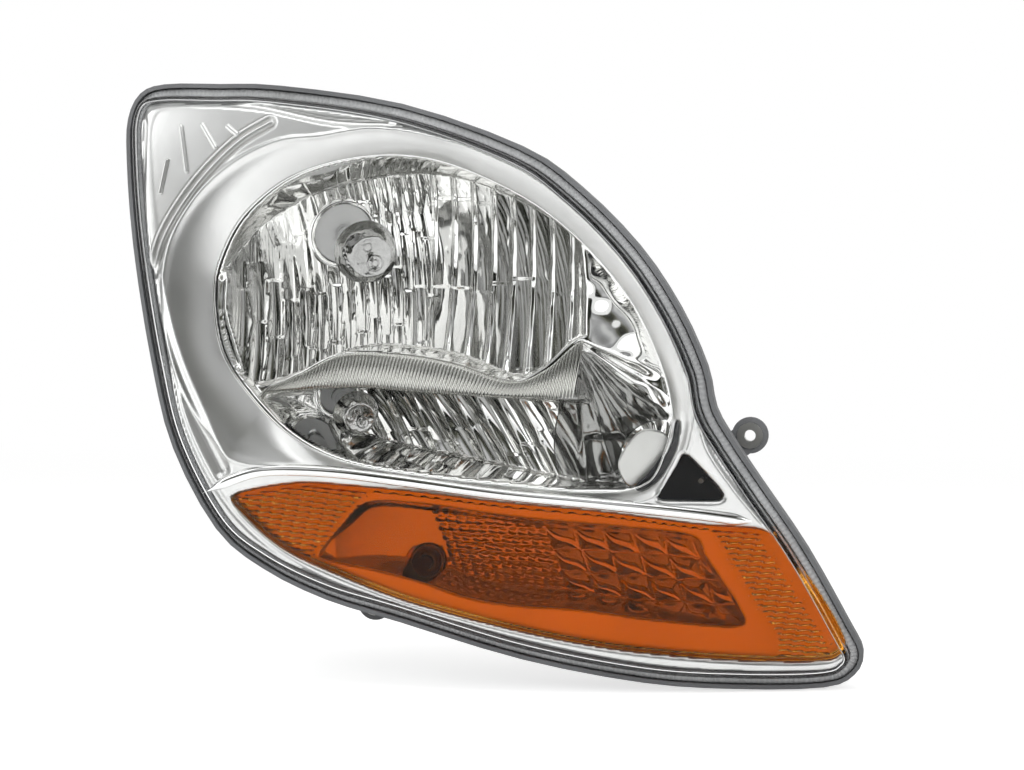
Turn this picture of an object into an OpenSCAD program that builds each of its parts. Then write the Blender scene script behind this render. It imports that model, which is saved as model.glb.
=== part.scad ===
// Car headlight assembly: clear dome lens, chrome bezel, twin-bowl reflector,
// amber indicator and the rear housing with its covers and aiming screws.
// Drawn with X to the right, Y towards the back of the car and Z up.

/* [Overall size] */
// Width of the housing rim
body_w = 430; // [350:1:520]
// Height of the housing rim
body_h = 345; // [285:1:415]
// Radius of the dome that the lens and everything in front follows
dome_r = 620; // [520:10:900]
// Distance from the lens to the floor of the shallow part of the housing
step_y = 105; // [100:1:125]
// Distance from the lens to the floor of the deep part of the housing
floor_y = 165; // [160:1:195]

/* [Walls] */
// Thickness of the lens
lens_t = 3; // [2:0.1:3.6]
// Thickness of the housing walls
wall = 2.5; // [2:0.1:3.5]
// Thickness of the bezel and the reflectors
skin = 2.5; // [1.6:0.1:3]
// Depth of the channel that the lens is glued into
channel_d = 13; // [9:0.5:15]
// Clear width of the glue channel
channel_w = 10.5; // [9:0.1:13]
// Gap between pieces that lie against each other
seat_gap = 0.3; // [0.2:0.05:0.5]

/* [Optics] */
// Sideways angle of the bulb axes
optic_out = 26; // [15:1:32]
// Downward angle of the bulb axes
optic_down = 13; // [6:1:16]
// Focal length of the dipped beam bowl
dipped_f = 26; // [22:0.5:28]
// Focal length of the main beam bowl
main_f = 20; // [16:0.5:22]
// Radius of the dipped bulb's hole
dipped_hole_r = 18.5; // [15:0.5:19]
// Radius of the main bulb's hole
main_hole_r = 11.5; // [9:0.5:12]
// Distance from the bowl to the dipped bulb's shield
dipped_shield_s = 66; // [58:1:75]
// Distance from the bowl to the main bulb's shield
main_shield_s = 54; // [48:1:62]
// Radius of the dipped bulb's shield
dipped_shield_r = 18.5; // [14:0.5:21]
// Radius of the main bulb's shield
main_shield_r = 13.5; // [11:0.5:16]

/* [Rear openings] */
// Inner radius of the dipped beam's service opening
dipped_port_r = 37.5; // [34:0.5:40]
// Inner radius of the main beam's service opening
main_port_r = 27.5; // [25:0.5:31]
// Radius of the indicator bulb holder's hole
indicator_port_r = 14; // [12:0.5:17]

/* [Aiming and fixing] */
// Radius of the aiming balls
ball_r = 5; // [4:0.25:5.5]
// Radius of the aiming rods
rod_r = 3; // [2.5:0.1:3.5]
// Radius of the levelling motor
motor_r = 24; // [20:0.5:26]
// Inner radius of the mounting bushes
bush_bore_r = 3.3; // [2.6:0.1:4.4]
// Outer radius of the mounting bushes
bush_r = 5.5; // [5:0.1:7]
// Thickness of the mounting tabs
tab_t = 6; // [4:0.5:9]
// Radius of the screws that hold the bezel
screw_r = 1.5; // [1.2:0.1:2]

/* [Hidden] */
$fn = 64;

// ---- outlines, seen from the front, as X and Z of a 430 by 345 rim ----
drawn_w = 430;
drawn_h = 345;
scale_x = body_w / drawn_w;
scale_z = body_h / drawn_h;

rim_points = [[-169, 175], [-205, 176], [-221, 171], [-228, 156], [-227, 132], [-220, 82],
              [-206, 12], [-193, -35], [-167, -81], [-139, -103], [-101, -120], [-57, -132],
              [12, -152], [79, -165], [130, -169], [180, -169], [197, -162], [202, -149],
              [194, -131], [171, -88], [146, -50], [131, -27], [121, -9], [116, 14], [101, 47],
              [78, 81], [45, 114], [11, 137], [-57, 161], [-131, 173]];
bezel_points = [[-212, 149], [-212, 159], [-198, 162], [-147, 159], [-98, 149], [-45, 144],
                [12, 124], [57, 92], [91, 51], [107, 12], [113, -16], [117, -32], [132, -55],
                [152, -80], [178, -114], [194, -141], [195, -151], [184, -157], [134, -157],
                [79, -152], [23, -141], [-22, -130], [-68, -117], [-108, -102], [-138, -83],
                [-159, -61], [-177, -30], [-191, 10], [-203, 56], [-210, 102]];
mouth_points = [[-167, 50], [-164, 72], [-149, 99], [-119, 121], [-77, 131], [-36, 128],
                [10, 109], [44, 84], [73, 50], [89, 17], [96, -12], [92, -34], [82, -51],
                [56, -56], [0, -52], [-57, -46], [-93, -39], [-120, -26], [-143, -5],
                [-161, 20]];
amber_points = [[-155, -63], [-144, -58], [-113, -53], [-84, -54], [-43, -57], [2, -62],
                [58, -67], [112, -74], [148, -78], [162, -94], [178, -117], [190, -141],
                [188, -149], [175, -152], [134, -151], [78, -146], [34, -139], [-11, -129],
                [-56, -117], [-97, -102], [-126, -89], [-147, -72]];
deep_points = [[-178, 60], [-176, 110], [-160, 143], [-115, 157], [-45, 152], [4, 124],
               [26, 80], [24, 20], [-3, -43], [-60, -69], [-118, -63], [-152, -38], [-172, 4]];

// ---- places, in the same view ----
dipped_at = [-110.2 * scale_x, 135.8, 89.8 * scale_z];
main_at = [-111 * scale_x, 121, -6 * scale_z];
indicator_at = [-47 * scale_x, -100 * scale_z];
aim_y = 93;
pivot_at = [40 * scale_x, aim_y, 62 * scale_z];
height_at = [40 * scale_x, aim_y, -38 * scale_z];
side_at = [-190 * scale_x, aim_y, 62 * scale_z];
post_places = [[-197 * scale_x, 147 * scale_z], [108 * scale_x, -54 * scale_z],
               [-163 * scale_x, -34 * scale_z]];
upper_mount = [52 * scale_x, 140, 40 * scale_z];
outer_mount = [136 * scale_x, 104, -28 * scale_z];
lower_mount = [-84 * scale_x, 104, -128 * scale_z];
vent_places = [[128 * scale_x, -122 * scale_z], [-118 * scale_x, -84 * scale_z]];
connector_at = [-22 * scale_x, 62 * scale_z];

// ---- layers, as distances behind the face of the dome ----
bezel_s = 9;
amber_s = bezel_s + skin + seat_gap;
tub_s = amber_s + skin + seat_gap;
rim_s = 16;
foot_s = 19;
inner_lip_s = 20;
channel_s = rim_s + channel_d;
collar_s = 24;
flange_s = 30;

// ---- insets from the rim's outer edge ----
foot_in = wall + 0.5;
skirt_in = foot_in + 5;
channel_in = wall + channel_w;
inside_in = channel_in + wall;
bezel_in = skirt_in + lens_t + 1;

function spline_point(a, b, c, d, t) =
    0.5 * (2 * b + (c - a) * t + (2 * a - 5 * b + 4 * c - d) * t * t
           + (3 * b - a - 3 * c + d) * t * t * t);

function closed_curve(points, steps) =
    let (n = len(points))
    [for (i = [0:n - 1], k = [0:steps - 1])
        let (p = spline_point(points[(i + n - 1) % n], points[i], points[(i + 1) % n],
                              points[(i + 2) % n], k / steps))
        [p[0] * scale_x, p[1] * scale_z]];

module rim_shape(grow = 0) offset(delta = grow) polygon(closed_curve(rim_points, 3));
module mouth_shape(grow = 0) offset(delta = grow) polygon(closed_curve(mouth_points, 3));
module amber_shape(grow = 0) offset(delta = grow) polygon(closed_curve(amber_points, 3));
module deep_shape(grow = 0) offset(delta = grow) polygon(closed_curve(deep_points, 3));

module bezel_shape() {
    intersection() {
        polygon(closed_curve(bezel_points, 3));
        rim_shape(-bezel_in);
    }
}

// Moves a piece from the lens's frame to the upper mounting hole's frame.
module from_datum() translate(-upper_mount) children();

// An outline drawn in X and Z, as a solid from y0 back to y1.
module prism(y0, y1) translate([0, y1, 0]) rotate([90, 0, 0]) linear_extrude(y1 - y0) children();

// All that lies behind the dome moved back by s.
module behind(s) translate([0, dome_r + s, 0]) sphere(dome_r, $fn = 200);

// What lies between the domes at s0 and s1, within the outline given as a child.
module layer(s0, s1) {
    difference() {
        intersection() {
            prism(s0 - 2, s1 + 110) children();
            behind(s0);
        }
        behind(s1);
    }
}

// A round bar along Y.
module bar_y(y0, y1, r) translate([0, y0, 0]) rotate([-90, 0, 0]) cylinder(h = y1 - y0, r = r);

// A round tube along Y.
module tube_y(y0, y1, r_out, r_in) {
    difference() {
        bar_y(y0, y1, r_out);
        bar_y(y0 - 1, y1 + 1, r_in);
    }
}

// A bulb's own frame: its axis is local Y, forwards is minus Y.
module optic(place) translate(place) rotate([optic_down, 0, optic_out]) children();

// The meridian of a paraboloid of focal length f, moved outwards by t.
function bowl_line(f, t, r_max, steps = 12) =
    [for (i = [0:steps])
        let (r = r_max * i / steps, turn = atan(r / (2 * f)))
        [r + t * sin(turn), r * r / (4 * f) - t * cos(turn)]];

// A filled paraboloid that opens forwards.
module bowl(f, t, r_max) {
    line = bowl_line(f, t, r_max);
    top = line[len(line) - 1];
    rotate([90, 0, 0]) rotate_extrude($fn = 96) polygon(concat(line, [[0, top[1]]]));
}

// ---- shelf between the two bowls, in the dipped bulb's frame ----
shelf_z = -68;
reach = 400;
bowl_r_max = 150;

module above_shelf(z) translate([-reach, -reach, z]) cube([2 * reach, 2 * reach, reach]);
module below_shelf(z) translate([-reach, -reach, z - reach]) cube([2 * reach, 2 * reach, reach]);

module dipped_space(t, z) {
    optic(dipped_at) intersection() {
        bowl(dipped_f, t, bowl_r_max);
        above_shelf(z);
    }
}

module main_space(t, z) {
    intersection() {
        optic(main_at) bowl(main_f, t, bowl_r_max);
        optic(dipped_at) below_shelf(z);
    }
}

// ---- lens and its glue ----
module lens() color([0.92, 0.95, 0.97, 0.35]) from_datum() {
    layer(0, lens_t) rim_shape(-skirt_in);
    layer(lens_t - 1, channel_s - 2) lens_skirt_shape();
    layer(foot_s, foot_s + lens_t) difference() {
        rim_shape(-foot_in);
        rim_shape(-skirt_in - lens_t + 0.5);
    }
}

module lens_skirt_shape() {
    difference() {
        rim_shape(-skirt_in);
        rim_shape(-skirt_in - lens_t);
    }
}

module lens_sealant() color([0.13, 0.13, 0.14]) from_datum() {
    difference() {
        layer(foot_s + lens_t + 1, channel_s) difference() {
            rim_shape(-wall);
            rim_shape(-channel_in);
        }
        layer(rim_s, channel_s - 2) lens_skirt_shape();
    }
}

// ---- housing ----
port_wall = 2.5;
dipped_port_end = 65;
main_port_end = 75;
vent_r = 6;
vent_bore_r = 4;
vent_l = 14;
plug_w = 36;
plug_h = 14;
boss_r = 6;
boss_l = 2;
indicator_boss_l = 3;
indicator_boss_wall = 3;

module rim_channel() {
    layer(rim_s, channel_s + wall) difference() {
        rim_shape();
        rim_shape(-wall);
    }
    layer(channel_s, channel_s + wall) difference() {
        rim_shape(-wall / 2);
        rim_shape(-inside_in);
    }
    layer(inner_lip_s, channel_s + wall) difference() {
        rim_shape(-channel_in);
        rim_shape(-inside_in);
    }
}

module shallow_walls() {
    intersection() {
        prism(0, step_y + wall) difference() {
            rim_shape(-channel_in);
            rim_shape(-inside_in);
        }
        behind(channel_s + 1);
    }
    prism(step_y, step_y + wall) difference() {
        rim_shape(-channel_in);
        deep_shape(-wall);
    }
}

module deep_walls() {
    prism(step_y, floor_y + wall) difference() {
        deep_shape();
        deep_shape(-wall);
    }
    prism(floor_y, floor_y + wall) deep_shape(-wall / 2);
}

module service_port(place, r, end) {
    intersection() {
        optic(place) tube_y(0, end, r + port_wall, r);
        translate([-reach, floor_y, -reach]) cube([2 * reach, reach, 2 * reach]);
    }
}

// Stiffening webs round the deep part, on the back of the shallow part.
web_l = 22;
web_t = 2;
module web(place, turn) {
    translate([place[0] * scale_x, step_y + wall - 0.5, place[1] * scale_z]) rotate([0, turn, 0])
        translate([0, 0, -web_t / 2]) linear_extrude(web_t)
            polygon([[-4, 0], [web_l, 0], [web_l, 4], [0, 34], [-4, 34]]);
}

module mount_tab(place, toward) {
    arm = [toward[0] - place[0], toward[1] - place[2]];
    difference() {
        union() {
            translate([place[0], 0, place[2]]) bar_y(place[1] - tab_t, place[1], bush_r + 5);
            translate([place[0], place[1] - tab_t, place[2]]) rotate([0, -atan2(arm[1], arm[0]), 0])
                translate([0, 0, -bush_r - 3]) cube([norm(arm), tab_t, 2 * bush_r + 6]);
        }
        translate([place[0], 0, place[2]]) bar_y(place[1] - tab_t - 1, place[1] + 1, bush_r);
    }
}

module housing() color([0.17, 0.17, 0.18]) from_datum() {
    difference() {
        union() {
            rim_channel();
            shallow_walls();
            deep_walls();
            service_port(dipped_at, dipped_port_r, dipped_port_end);
            service_port(main_at, main_port_r, main_port_end);
            for (w = [[18, 96, 0], [24, 22, 0], [-40, -63, 70], [-150, -42, 140],
                      [-176, 24, 180], [-178, 100, 180]])
                web([w[0], w[1]], w[2]);
            translate([indicator_at[0], 0, indicator_at[1]])
                bar_y(step_y, step_y + wall + indicator_boss_l,
                      indicator_port_r + indicator_boss_wall);
            for (v = vent_places) translate([v[0], 0, v[1]]) bar_y(step_y, step_y + vent_l, vent_r);
            for (p = post_places) translate([p[0], 0, p[1]]) bar_y(step_y, step_y + wall + boss_l, boss_r);
            translate([pivot_at[0], 0, pivot_at[2]]) bar_y(step_y, step_y + 12, 7);
            mount_tab(upper_mount, [20 * scale_x, 40 * scale_z]);
            mount_tab(outer_mount, [114 * scale_x, -44 * scale_z]);
            mount_tab(lower_mount, [-76 * scale_x, -104 * scale_z]);
        }
        optic(dipped_at) bar_y(10, dipped_port_end + 1, dipped_port_r);
        optic(main_at) bar_y(10, main_port_end + 1, main_port_r);
        translate([indicator_at[0], 0, indicator_at[1]])
            bar_y(step_y - 1, step_y + wall + 4, indicator_port_r);
        for (v = vent_places) translate([v[0], 0, v[1]]) bar_y(step_y - 1, step_y + vent_l + 1, vent_bore_r);
        for (p = post_places) translate([p[0], 0, p[1]])
            bar_y(step_y - 1, step_y + wall + 3, screw_r + 0.1);
        translate([pivot_at[0], 0, pivot_at[2]]) bar_y(step_y - 1, step_y + 13, rod_r);
        translate([height_at[0], 0, height_at[2]]) bar_y(step_y - 1, step_y + 4, motor_neck_r + 0.3);
        translate([side_at[0], 0, side_at[2]]) bar_y(step_y - 1, step_y + 4, side_neck_r + 0.3);
        translate([connector_at[0], floor_y, connector_at[1]])
            cube([plug_w, 3 * wall, plug_h], center = true);
    }
}

// ---- bezel, amber filter and indicator ----
post_r = 4;

module bezel() color([0.78, 0.78, 0.76]) from_datum() {
    difference() {
        union() {
            layer(bezel_s, bezel_s + skin) bezel_shape();
            layer(bezel_s, collar_s) mouth_shape(skin + 1);
            for (p = post_places) intersection() {
                translate([p[0], 0, p[1]]) bar_y(0, step_y - seat_gap, post_r);
                behind(bezel_s + 1);
            }
        }
        prism(-5, 200) mouth_shape(1);
        layer(bezel_s - 3, bezel_s + skin + 2) amber_shape();
        for (p = post_places) translate([p[0], 0, p[1]]) bar_y(step_y - 16, step_y, screw_r + 0.1);
    }
}

module bezel_screws() color([0.6, 0.6, 0.62]) from_datum() {
    for (p = post_places) translate([p[0], 0, p[1]]) {
        difference() {
            bar_y(step_y + wall + 2, step_y + wall + 4.5, 3.4);
            translate([0, step_y + wall + 3.6, 0]) cube([4.4, 2, 0.9], center = true);
            translate([0, step_y + wall + 3.6, 0]) cube([0.9, 2, 4.4], center = true);
        }
        bar_y(step_y - 14, step_y + wall + 2.2, screw_r);
    }
}

module amber_filter() color([0.95, 0.45, 0.05, 0.8]) from_datum() {
    layer(amber_s, amber_s + skin) intersection() {
        amber_shape(2);
        rim_shape(-bezel_in);
    }
}

tub_y = 82;
tub_neck_r = 12.5;
tub_neck_l = 12;
module tub_shape(grow) {
    intersection() {
        amber_shape(2 + grow);
        rim_shape(-inside_in - 1 + grow);
    }
}

module indicator_reflector() color([0.75, 0.75, 0.73]) from_datum() {
    difference() {
        union() {
            intersection() {
                prism(0, tub_y) tub_shape(0);
                behind(tub_s);
            }
            translate([indicator_at[0], 0, indicator_at[1]])
                bar_y(tub_y - 1, tub_y + tub_neck_l, tub_neck_r + skin);
        }
        prism(0, tub_y - skin) tub_shape(-skin);
        translate([indicator_at[0], 0, indicator_at[1]]) bar_y(tub_y - 5, tub_y + tub_neck_l + 1, tub_neck_r);
    }
}

module indicator_holder() color([0.2, 0.2, 0.21]) from_datum() {
    translate([indicator_at[0], 0, indicator_at[1]]) {
        difference() {
            bar_y(step_y - 4, step_y + wall + 3.3 + 4, indicator_port_r - 0.4);
            bar_y(step_y - 5, step_y + 2, indicator_port_r - 4);
        }
        tube_y(step_y + wall + 3.3 + 1.8, step_y + wall + 3.3 + 4, indicator_port_r + 3.5,
               indicator_port_r - 1);
        translate([0, step_y + wall + 12, 0]) cube([2 * indicator_port_r - 2, 10, 5], center = true);
        bar_y(step_y - 20, step_y + 3, 5.5);
    }
}

module indicator_seal() color([0.1, 0.1, 0.1]) from_datum() {
    translate([indicator_at[0], 0, indicator_at[1]])
        tube_y(step_y + wall + 3.2, step_y + wall + 4.9, indicator_port_r + 2.6,
               indicator_port_r - 0.1);
}

module indicator_bulb() color([0.9, 0.5, 0.1, 0.8]) from_datum() {
    translate([indicator_at[0], step_y - 20.3, indicator_at[1]]) {
        rotate([90, 0, 0]) rotate_extrude() polygon([[0, 0], [7, 0], [7, 8], [9.4, 16],
            [9.4, 21], [7.5, 27], [4, 30.5], [0, 31.5]]);
    }
}

// ---- moving reflector ----
collar_b = 8;
ear_t = 2.5;
side_seat_r = 7;
side_arm_l = 32 * scale_x;
height_seat_r = 6;
cup_l = 8;
dipped_seat_r = dipped_hole_r + 1.5;
main_seat_r = main_hole_r + 1.5;

module bulb_collar(seat_r, hinge_z, ear_x) {
    bar_y(-4, collar_b, seat_r + 4);
    for (side = [-1, 1])
        translate([side * (ear_x + ear_t / 2), (collar_b + 14.5) / 2, hinge_z - 3.5])
            cube([ear_t, 14.5 - collar_b + 4, 15], center = true);
}

module main_reflector() color([0.8, 0.8, 0.79]) from_datum() {
    difference() {
        union() {
            intersection() {
                union() {
                    dipped_space(skin, shelf_z - skin);
                    main_space(skin, shelf_z);
                }
                prism(0, 200) mouth_shape(skin);
                behind(flange_s);
            }
            layer(flange_s, flange_s + skin) mouth_shape(4);
            optic(dipped_at) bulb_collar(dipped_seat_r, dipped_hinge_z, dipped_ear_x);
            optic(main_at) bulb_collar(main_seat_r, main_hinge_z, main_ear_x);
            translate([pivot_at[0], 0, pivot_at[2]]) bar_y(60, pivot_at[1] + 6, 13);
            translate([height_at[0], 0, height_at[2]])
                bar_y(38, height_at[1] - cup_l - seat_gap, height_seat_r);
            layer(flange_s, flange_s + 4)
                translate([side_at[0] - side_seat_r - 0.5, side_at[2] - side_seat_r - 1])
                    square([side_arm_l, 2 * (side_seat_r + 1)]);
            intersection() {
                translate([side_at[0], 0, side_at[2]]) bar_y(40, side_at[1] - cup_l - seat_gap, side_seat_r);
                behind(flange_s + 1);
            }
        }
        intersection() {
            union() {
                dipped_space(0, shelf_z);
                main_space(0, shelf_z - skin);
            }
            prism(-5, 210) mouth_shape();
        }
        optic(dipped_at) bar_y(-8, collar_b + 1, dipped_hole_r);
        optic(main_at) bar_y(-8, collar_b + 1, main_hole_r);
        optic(dipped_at) hinge_bore(dipped_hinge_z, dipped_ear_x);
        optic(main_at) hinge_bore(main_hinge_z, main_ear_x);
        translate(pivot_at)
            cylinder(h = socket_h + 2 * seat_gap, r = ball_r + 4 + seat_gap, center = true);
    }
}

// ---- bulb clips: a sprung wire hinged above each bulb ----
wire_r = 1.1;
clip_b = 12;
dipped_hinge_z = 25;
dipped_ear_x = 16.3;
main_hinge_z = 19;
main_ear_x = 12.3;

module bar_x(x0, x1, r) translate([x0, 0, 0]) rotate([0, 90, 0]) cylinder(h = x1 - x0, r = r);

module hinge_bore(z, ear_x) {
    translate([0, clip_b, z]) bar_x(-ear_x - ear_t - 1, ear_x + ear_t + 1, wire_r + 0.1);
}

module clip(hinge_z, ear_x, end_z, half_w) {
    translate([0, clip_b, hinge_z]) bar_x(-ear_x - ear_t, ear_x + ear_t, wire_r);
    for (side = [-1, 1]) translate([side * half_w, clip_b, end_z])
        cylinder(h = hinge_z - end_z, r = wire_r);
    translate([0, clip_b, end_z]) bar_x(-half_w - wire_r, half_w + wire_r, wire_r);
}

module dipped_clip() color([0.65, 0.65, 0.66]) from_datum() {
    optic(dipped_at) clip(dipped_hinge_z, dipped_ear_x, -18, 13.5);
}

module main_clip() color([0.65, 0.65, 0.66]) from_datum() {
    optic(main_at) clip(main_hinge_z, main_ear_x, -13, 9.8);
}

// ---- bulbs ----
module bulb_base(hole_r, flange_r, body_r, end_b) {
    bar_y(-1, collar_b + seat_gap, hole_r - 0.6);
    bar_y(collar_b + seat_gap, collar_b + 2.5, flange_r);
    bar_y(collar_b + 1, end_b - 6, body_r);
    for (side = [-1, 1]) translate([side * body_r * 0.5, end_b - 4, 0])
        cube([0.9, 8, body_r * 0.8], center = true);
}

module bulb_glass(r, base_s, tip_s) {
    rotate([90, 0, 0]) rotate_extrude() polygon([[0, base_s], [r * 0.8, base_s], [r, base_s + 4],
        [r, tip_s - r], [r * 0.8, tip_s - r * 0.4], [r * 0.4, tip_s - r * 0.1], [0, tip_s]]);
}

module dipped_bulb_base() color([0.7, 0.7, 0.68]) from_datum() {
    optic(dipped_at) bulb_base(dipped_hole_r, dipped_seat_r, 10.5, 34);
}

module dipped_bulb_glass() color([0.9, 0.93, 0.95, 0.4]) from_datum() {
    optic(dipped_at) bulb_glass(6.5, 1, dipped_shield_s - 20);
}

module main_bulb_base() color([0.7, 0.7, 0.68]) from_datum() {
    optic(main_at) bulb_base(main_hole_r, main_seat_r, 7, 28);
}

module main_bulb_glass() color([0.9, 0.93, 0.95, 0.4]) from_datum() {
    optic(main_at) bulb_glass(5, 1, main_shield_s - 14);
}

// ---- shields: a chrome cup in front of each bulb on one strut ----
module shield(r, s, depth, f) {
    strut_z = r - 1;
    foot_at = strut_z * strut_z / (4 * f) + seat_gap + 1;
    rotate([90, 0, 0]) rotate_extrude() polygon([[0, s - 1.2], [r - 2, s - 1.2], [r - 1.2, s - 2],
        [r - 1.2, s - depth], [r, s - depth], [r, s - 2.5], [r - 3, s], [0, s]]);
    for (ring = [0.38, 0.58]) rotate([90, 0, 0]) rotate_extrude()
        translate([r * ring, s - 0.2]) square([1, 0.8]);
    translate([-3, -(s - depth + 2), -strut_z - 0.6]) cube([6, s - depth + 2 - foot_at, 1.2]);
    translate([0, -foot_at, -strut_z]) rotate([90, 0, 0]) cylinder(h = 1.4, r = 2.6);
}

module dipped_shield() color([0.85, 0.85, 0.84]) from_datum() {
    optic(dipped_at) shield(dipped_shield_r, dipped_shield_s, 14, dipped_f);
}

module main_shield() color([0.85, 0.85, 0.84]) from_datum() {
    optic(main_at) shield(main_shield_r, main_shield_s, 10, main_f);
}

// ---- aiming gear ----
motor_neck_r = 15;
socket_h = 16;
side_neck_r = 7;

module pivot_stud() color([0.62, 0.62, 0.64]) from_datum() {
    translate(pivot_at) sphere(ball_r);
    translate([pivot_at[0], 0, pivot_at[2]]) {
        bar_y(pivot_at[1], step_y + 14, rod_r - 0.05);
        tube_y(step_y - 2, step_y - seat_gap, 7, rod_r - 0.5);
    }
}

module ball_cup(place, r_out) {
    difference() {
        translate([place[0], 0, place[2]]) bar_y(place[1] - cup_l, place[1] + ball_r + 0.5, r_out);
        translate(place) sphere(ball_r + 0.3);
        translate([place[0], 0, place[2]]) bar_y(place[1], place[1] + ball_r + 1, ball_r - 0.4);
    }
}

module pivot_socket() color([0.9, 0.9, 0.86]) from_datum() {
    difference() {
        translate(pivot_at) cylinder(h = socket_h, r = ball_r + 4, center = true);
        translate(pivot_at) sphere(ball_r + 0.3);
        translate([pivot_at[0], 0, pivot_at[2]]) bar_y(pivot_at[1], pivot_at[1] + 12, ball_r - 0.4);
    }
}

module height_socket() color([0.9, 0.9, 0.86]) from_datum() ball_cup(height_at, 8);
module side_socket() color([0.9, 0.9, 0.86]) from_datum() ball_cup(side_at, 8);

module rod(place, end_y) {
    translate(place) sphere(ball_r);
    translate([place[0], 0, place[2]]) bar_y(place[1], end_y, rod_r);
}

motor_end = step_y + 46;
side_end = step_y + 24;
module height_rod() color([0.62, 0.62, 0.64]) from_datum() rod(height_at, motor_end + 6);
module side_rod() color([0.62, 0.62, 0.64]) from_datum() rod(side_at, side_end + 6);

module levelling_motor() color([0.12, 0.12, 0.13]) from_datum() {
    translate([height_at[0], 0, height_at[2]]) difference() {
        union() {
            bar_y(step_y - 2, step_y + wall + 2, motor_neck_r);
            bar_y(step_y + wall + 1.8, motor_end - 8, motor_r);
            bar_y(motor_end - 9, motor_end, 12);
            translate([motor_r - 6, step_y + wall + 6, -9]) cube([20, 18, 18]);
        }
        bar_y(step_y - 3, motor_end + 1, rod_r + 0.3);
        translate([motor_r + 2, step_y + wall + 8, -7]) cube([13, 14, 14]);
    }
}

module motor_seal() color([0.1, 0.1, 0.1]) from_datum() {
    translate([height_at[0], 0, height_at[2]])
        tube_y(step_y + wall, step_y + wall + 1.6, motor_neck_r + 4, motor_neck_r + 0.2);
}

module side_adjuster() color([0.12, 0.12, 0.13]) from_datum() {
    translate([side_at[0], 0, side_at[2]]) difference() {
        union() {
            bar_y(step_y + 0.5, step_y + wall + 1, side_neck_r);
            bar_y(step_y + wall + 0.1, side_end, 10.5);
        }
        bar_y(step_y - 3, side_end + 1, rod_r + 0.3);
    }
}

// A thumb wheel with a toothed edge and a hexagon boss.
module thumb_wheel(y0, r, teeth) {
    difference() {
        union() {
            bar_y(y0, y0 + 6, r);
            for (i = [0:teeth - 1]) rotate([0, i * 360 / teeth, 0])
                translate([r - 0.6, y0, -1]) cube([2, 6, 2]);
            translate([0, y0 + 5, 0]) rotate([-90, 0, 0]) cylinder(h = 12, r = 6, $fn = 6);
        }
        bar_y(y0 - 1, y0 + 14, rod_r + 0.3);
    }
}

module height_knob() color([0.9, 0.9, 0.86]) from_datum() {
    translate([height_at[0], 0, height_at[2]]) thumb_wheel(motor_end + seat_gap, 11, 20);
}

module side_knob() color([0.9, 0.9, 0.86]) from_datum() {
    translate([side_at[0], 0, side_at[2]]) thumb_wheel(side_end + seat_gap, 8, 14);
}

// ---- rear covers ----
module cover(r, end, grip_l) {
    difference() {
        union() {
            bar_y(end + seat_gap, end + 3.5, r + port_wall + 3.5);
            bar_y(end - 12, end + 1, r - 1.6);
            for (i = [0:5]) rotate([0, 30 + i * 60, 0])
                translate([r + port_wall + 2, end + seat_gap, -5]) cube([3.5, 3.2, 10]);
            translate([-grip_l / 2, end + 3, -3.5]) cube([grip_l, 11, 7]);
        }
        bar_y(end - 13, end - 1, r - 4.2);
        bar_y(end - 9, end - 5, r - 1.6 + 3);
    }
    tube_y(end - 9.5, end - 4.5, r - 3, r - 4.2);
}

module dipped_cover() color([0.14, 0.14, 0.15]) from_datum() {
    optic(dipped_at) cover(dipped_port_r, dipped_port_end, 54);
}

module dipped_seal() color([0.08, 0.08, 0.08]) from_datum() {
    optic(dipped_at) tube_y(dipped_port_end - 8.7, dipped_port_end - 5.3, dipped_port_r - 0.3,
                            dipped_port_r - 2.9);
}

module main_cover() color([0.14, 0.14, 0.15]) from_datum() {
    optic(main_at) cover(main_port_r, main_port_end, 40);
}

module main_seal() color([0.08, 0.08, 0.08]) from_datum() {
    optic(main_at) tube_y(main_port_end - 8.7, main_port_end - 5.3, main_port_r - 0.3,
                          main_port_r - 2.9);
}

// ---- connector, vents and bushes ----
module connector_socket() color([0.1, 0.1, 0.11]) from_datum() {
    translate([connector_at[0], floor_y + wall, connector_at[1]]) difference() {
        union() {
            translate([-22, 0, -11]) cube([44, 2.4, 22]);
            translate([-19, 2, -8.5]) cube([38, 20, 17]);
            translate([0.3 - plug_w / 2, -wall - 1, 0.3 - plug_h / 2])
                cube([plug_w - 0.6, wall + 2, plug_h - 0.6]);
            translate([-4, 2, 8]) cube([8, 12, 3]);
        }
        translate([-17, 4, -6.5]) cube([34, 20, 13]);
        for (i = [0:3], k = [0, 1]) translate([-12 + 8 * i, -wall - 3, -3.2 + 6.4 * k])
            rotate([-90, 0, 0]) cylinder(h = 12, r = 1);
    }
}

module connector_pins() color([0.8, 0.72, 0.45]) from_datum() {
    translate([connector_at[0], floor_y + wall, connector_at[1]])
        for (i = [0:3], k = [0, 1]) translate([-12 + 8 * i, -wall - 4, -3.2 + 6.4 * k])
            rotate([-90, 0, 0]) cylinder(h = 20, r = 0.95);
}

module vent_caps() color([0.1, 0.1, 0.1]) from_datum() {
    for (v = vent_places) translate([v[0], 0, v[1]]) difference() {
        bar_y(step_y + 5, step_y + vent_l + 3, vent_r + 2.2);
        bar_y(step_y + 4, step_y + vent_l + seat_gap, vent_r + 0.2);
    }
}

module mount_bushes() color([0.7, 0.7, 0.7]) from_datum() {
    for (m = [upper_mount, outer_mount, lower_mount])
        translate([m[0], 0, m[2]]) difference() {
            union() {
                bar_y(m[1] - tab_t - 0.5, m[1], bush_r - 0.05);
                bar_y(m[1] - tab_t - 2.5, m[1] - tab_t - seat_gap, bush_r + 2);
            }
            bar_y(m[1] - tab_t - 4, m[1] + 1, bush_bore_r);
        }
}

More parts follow.
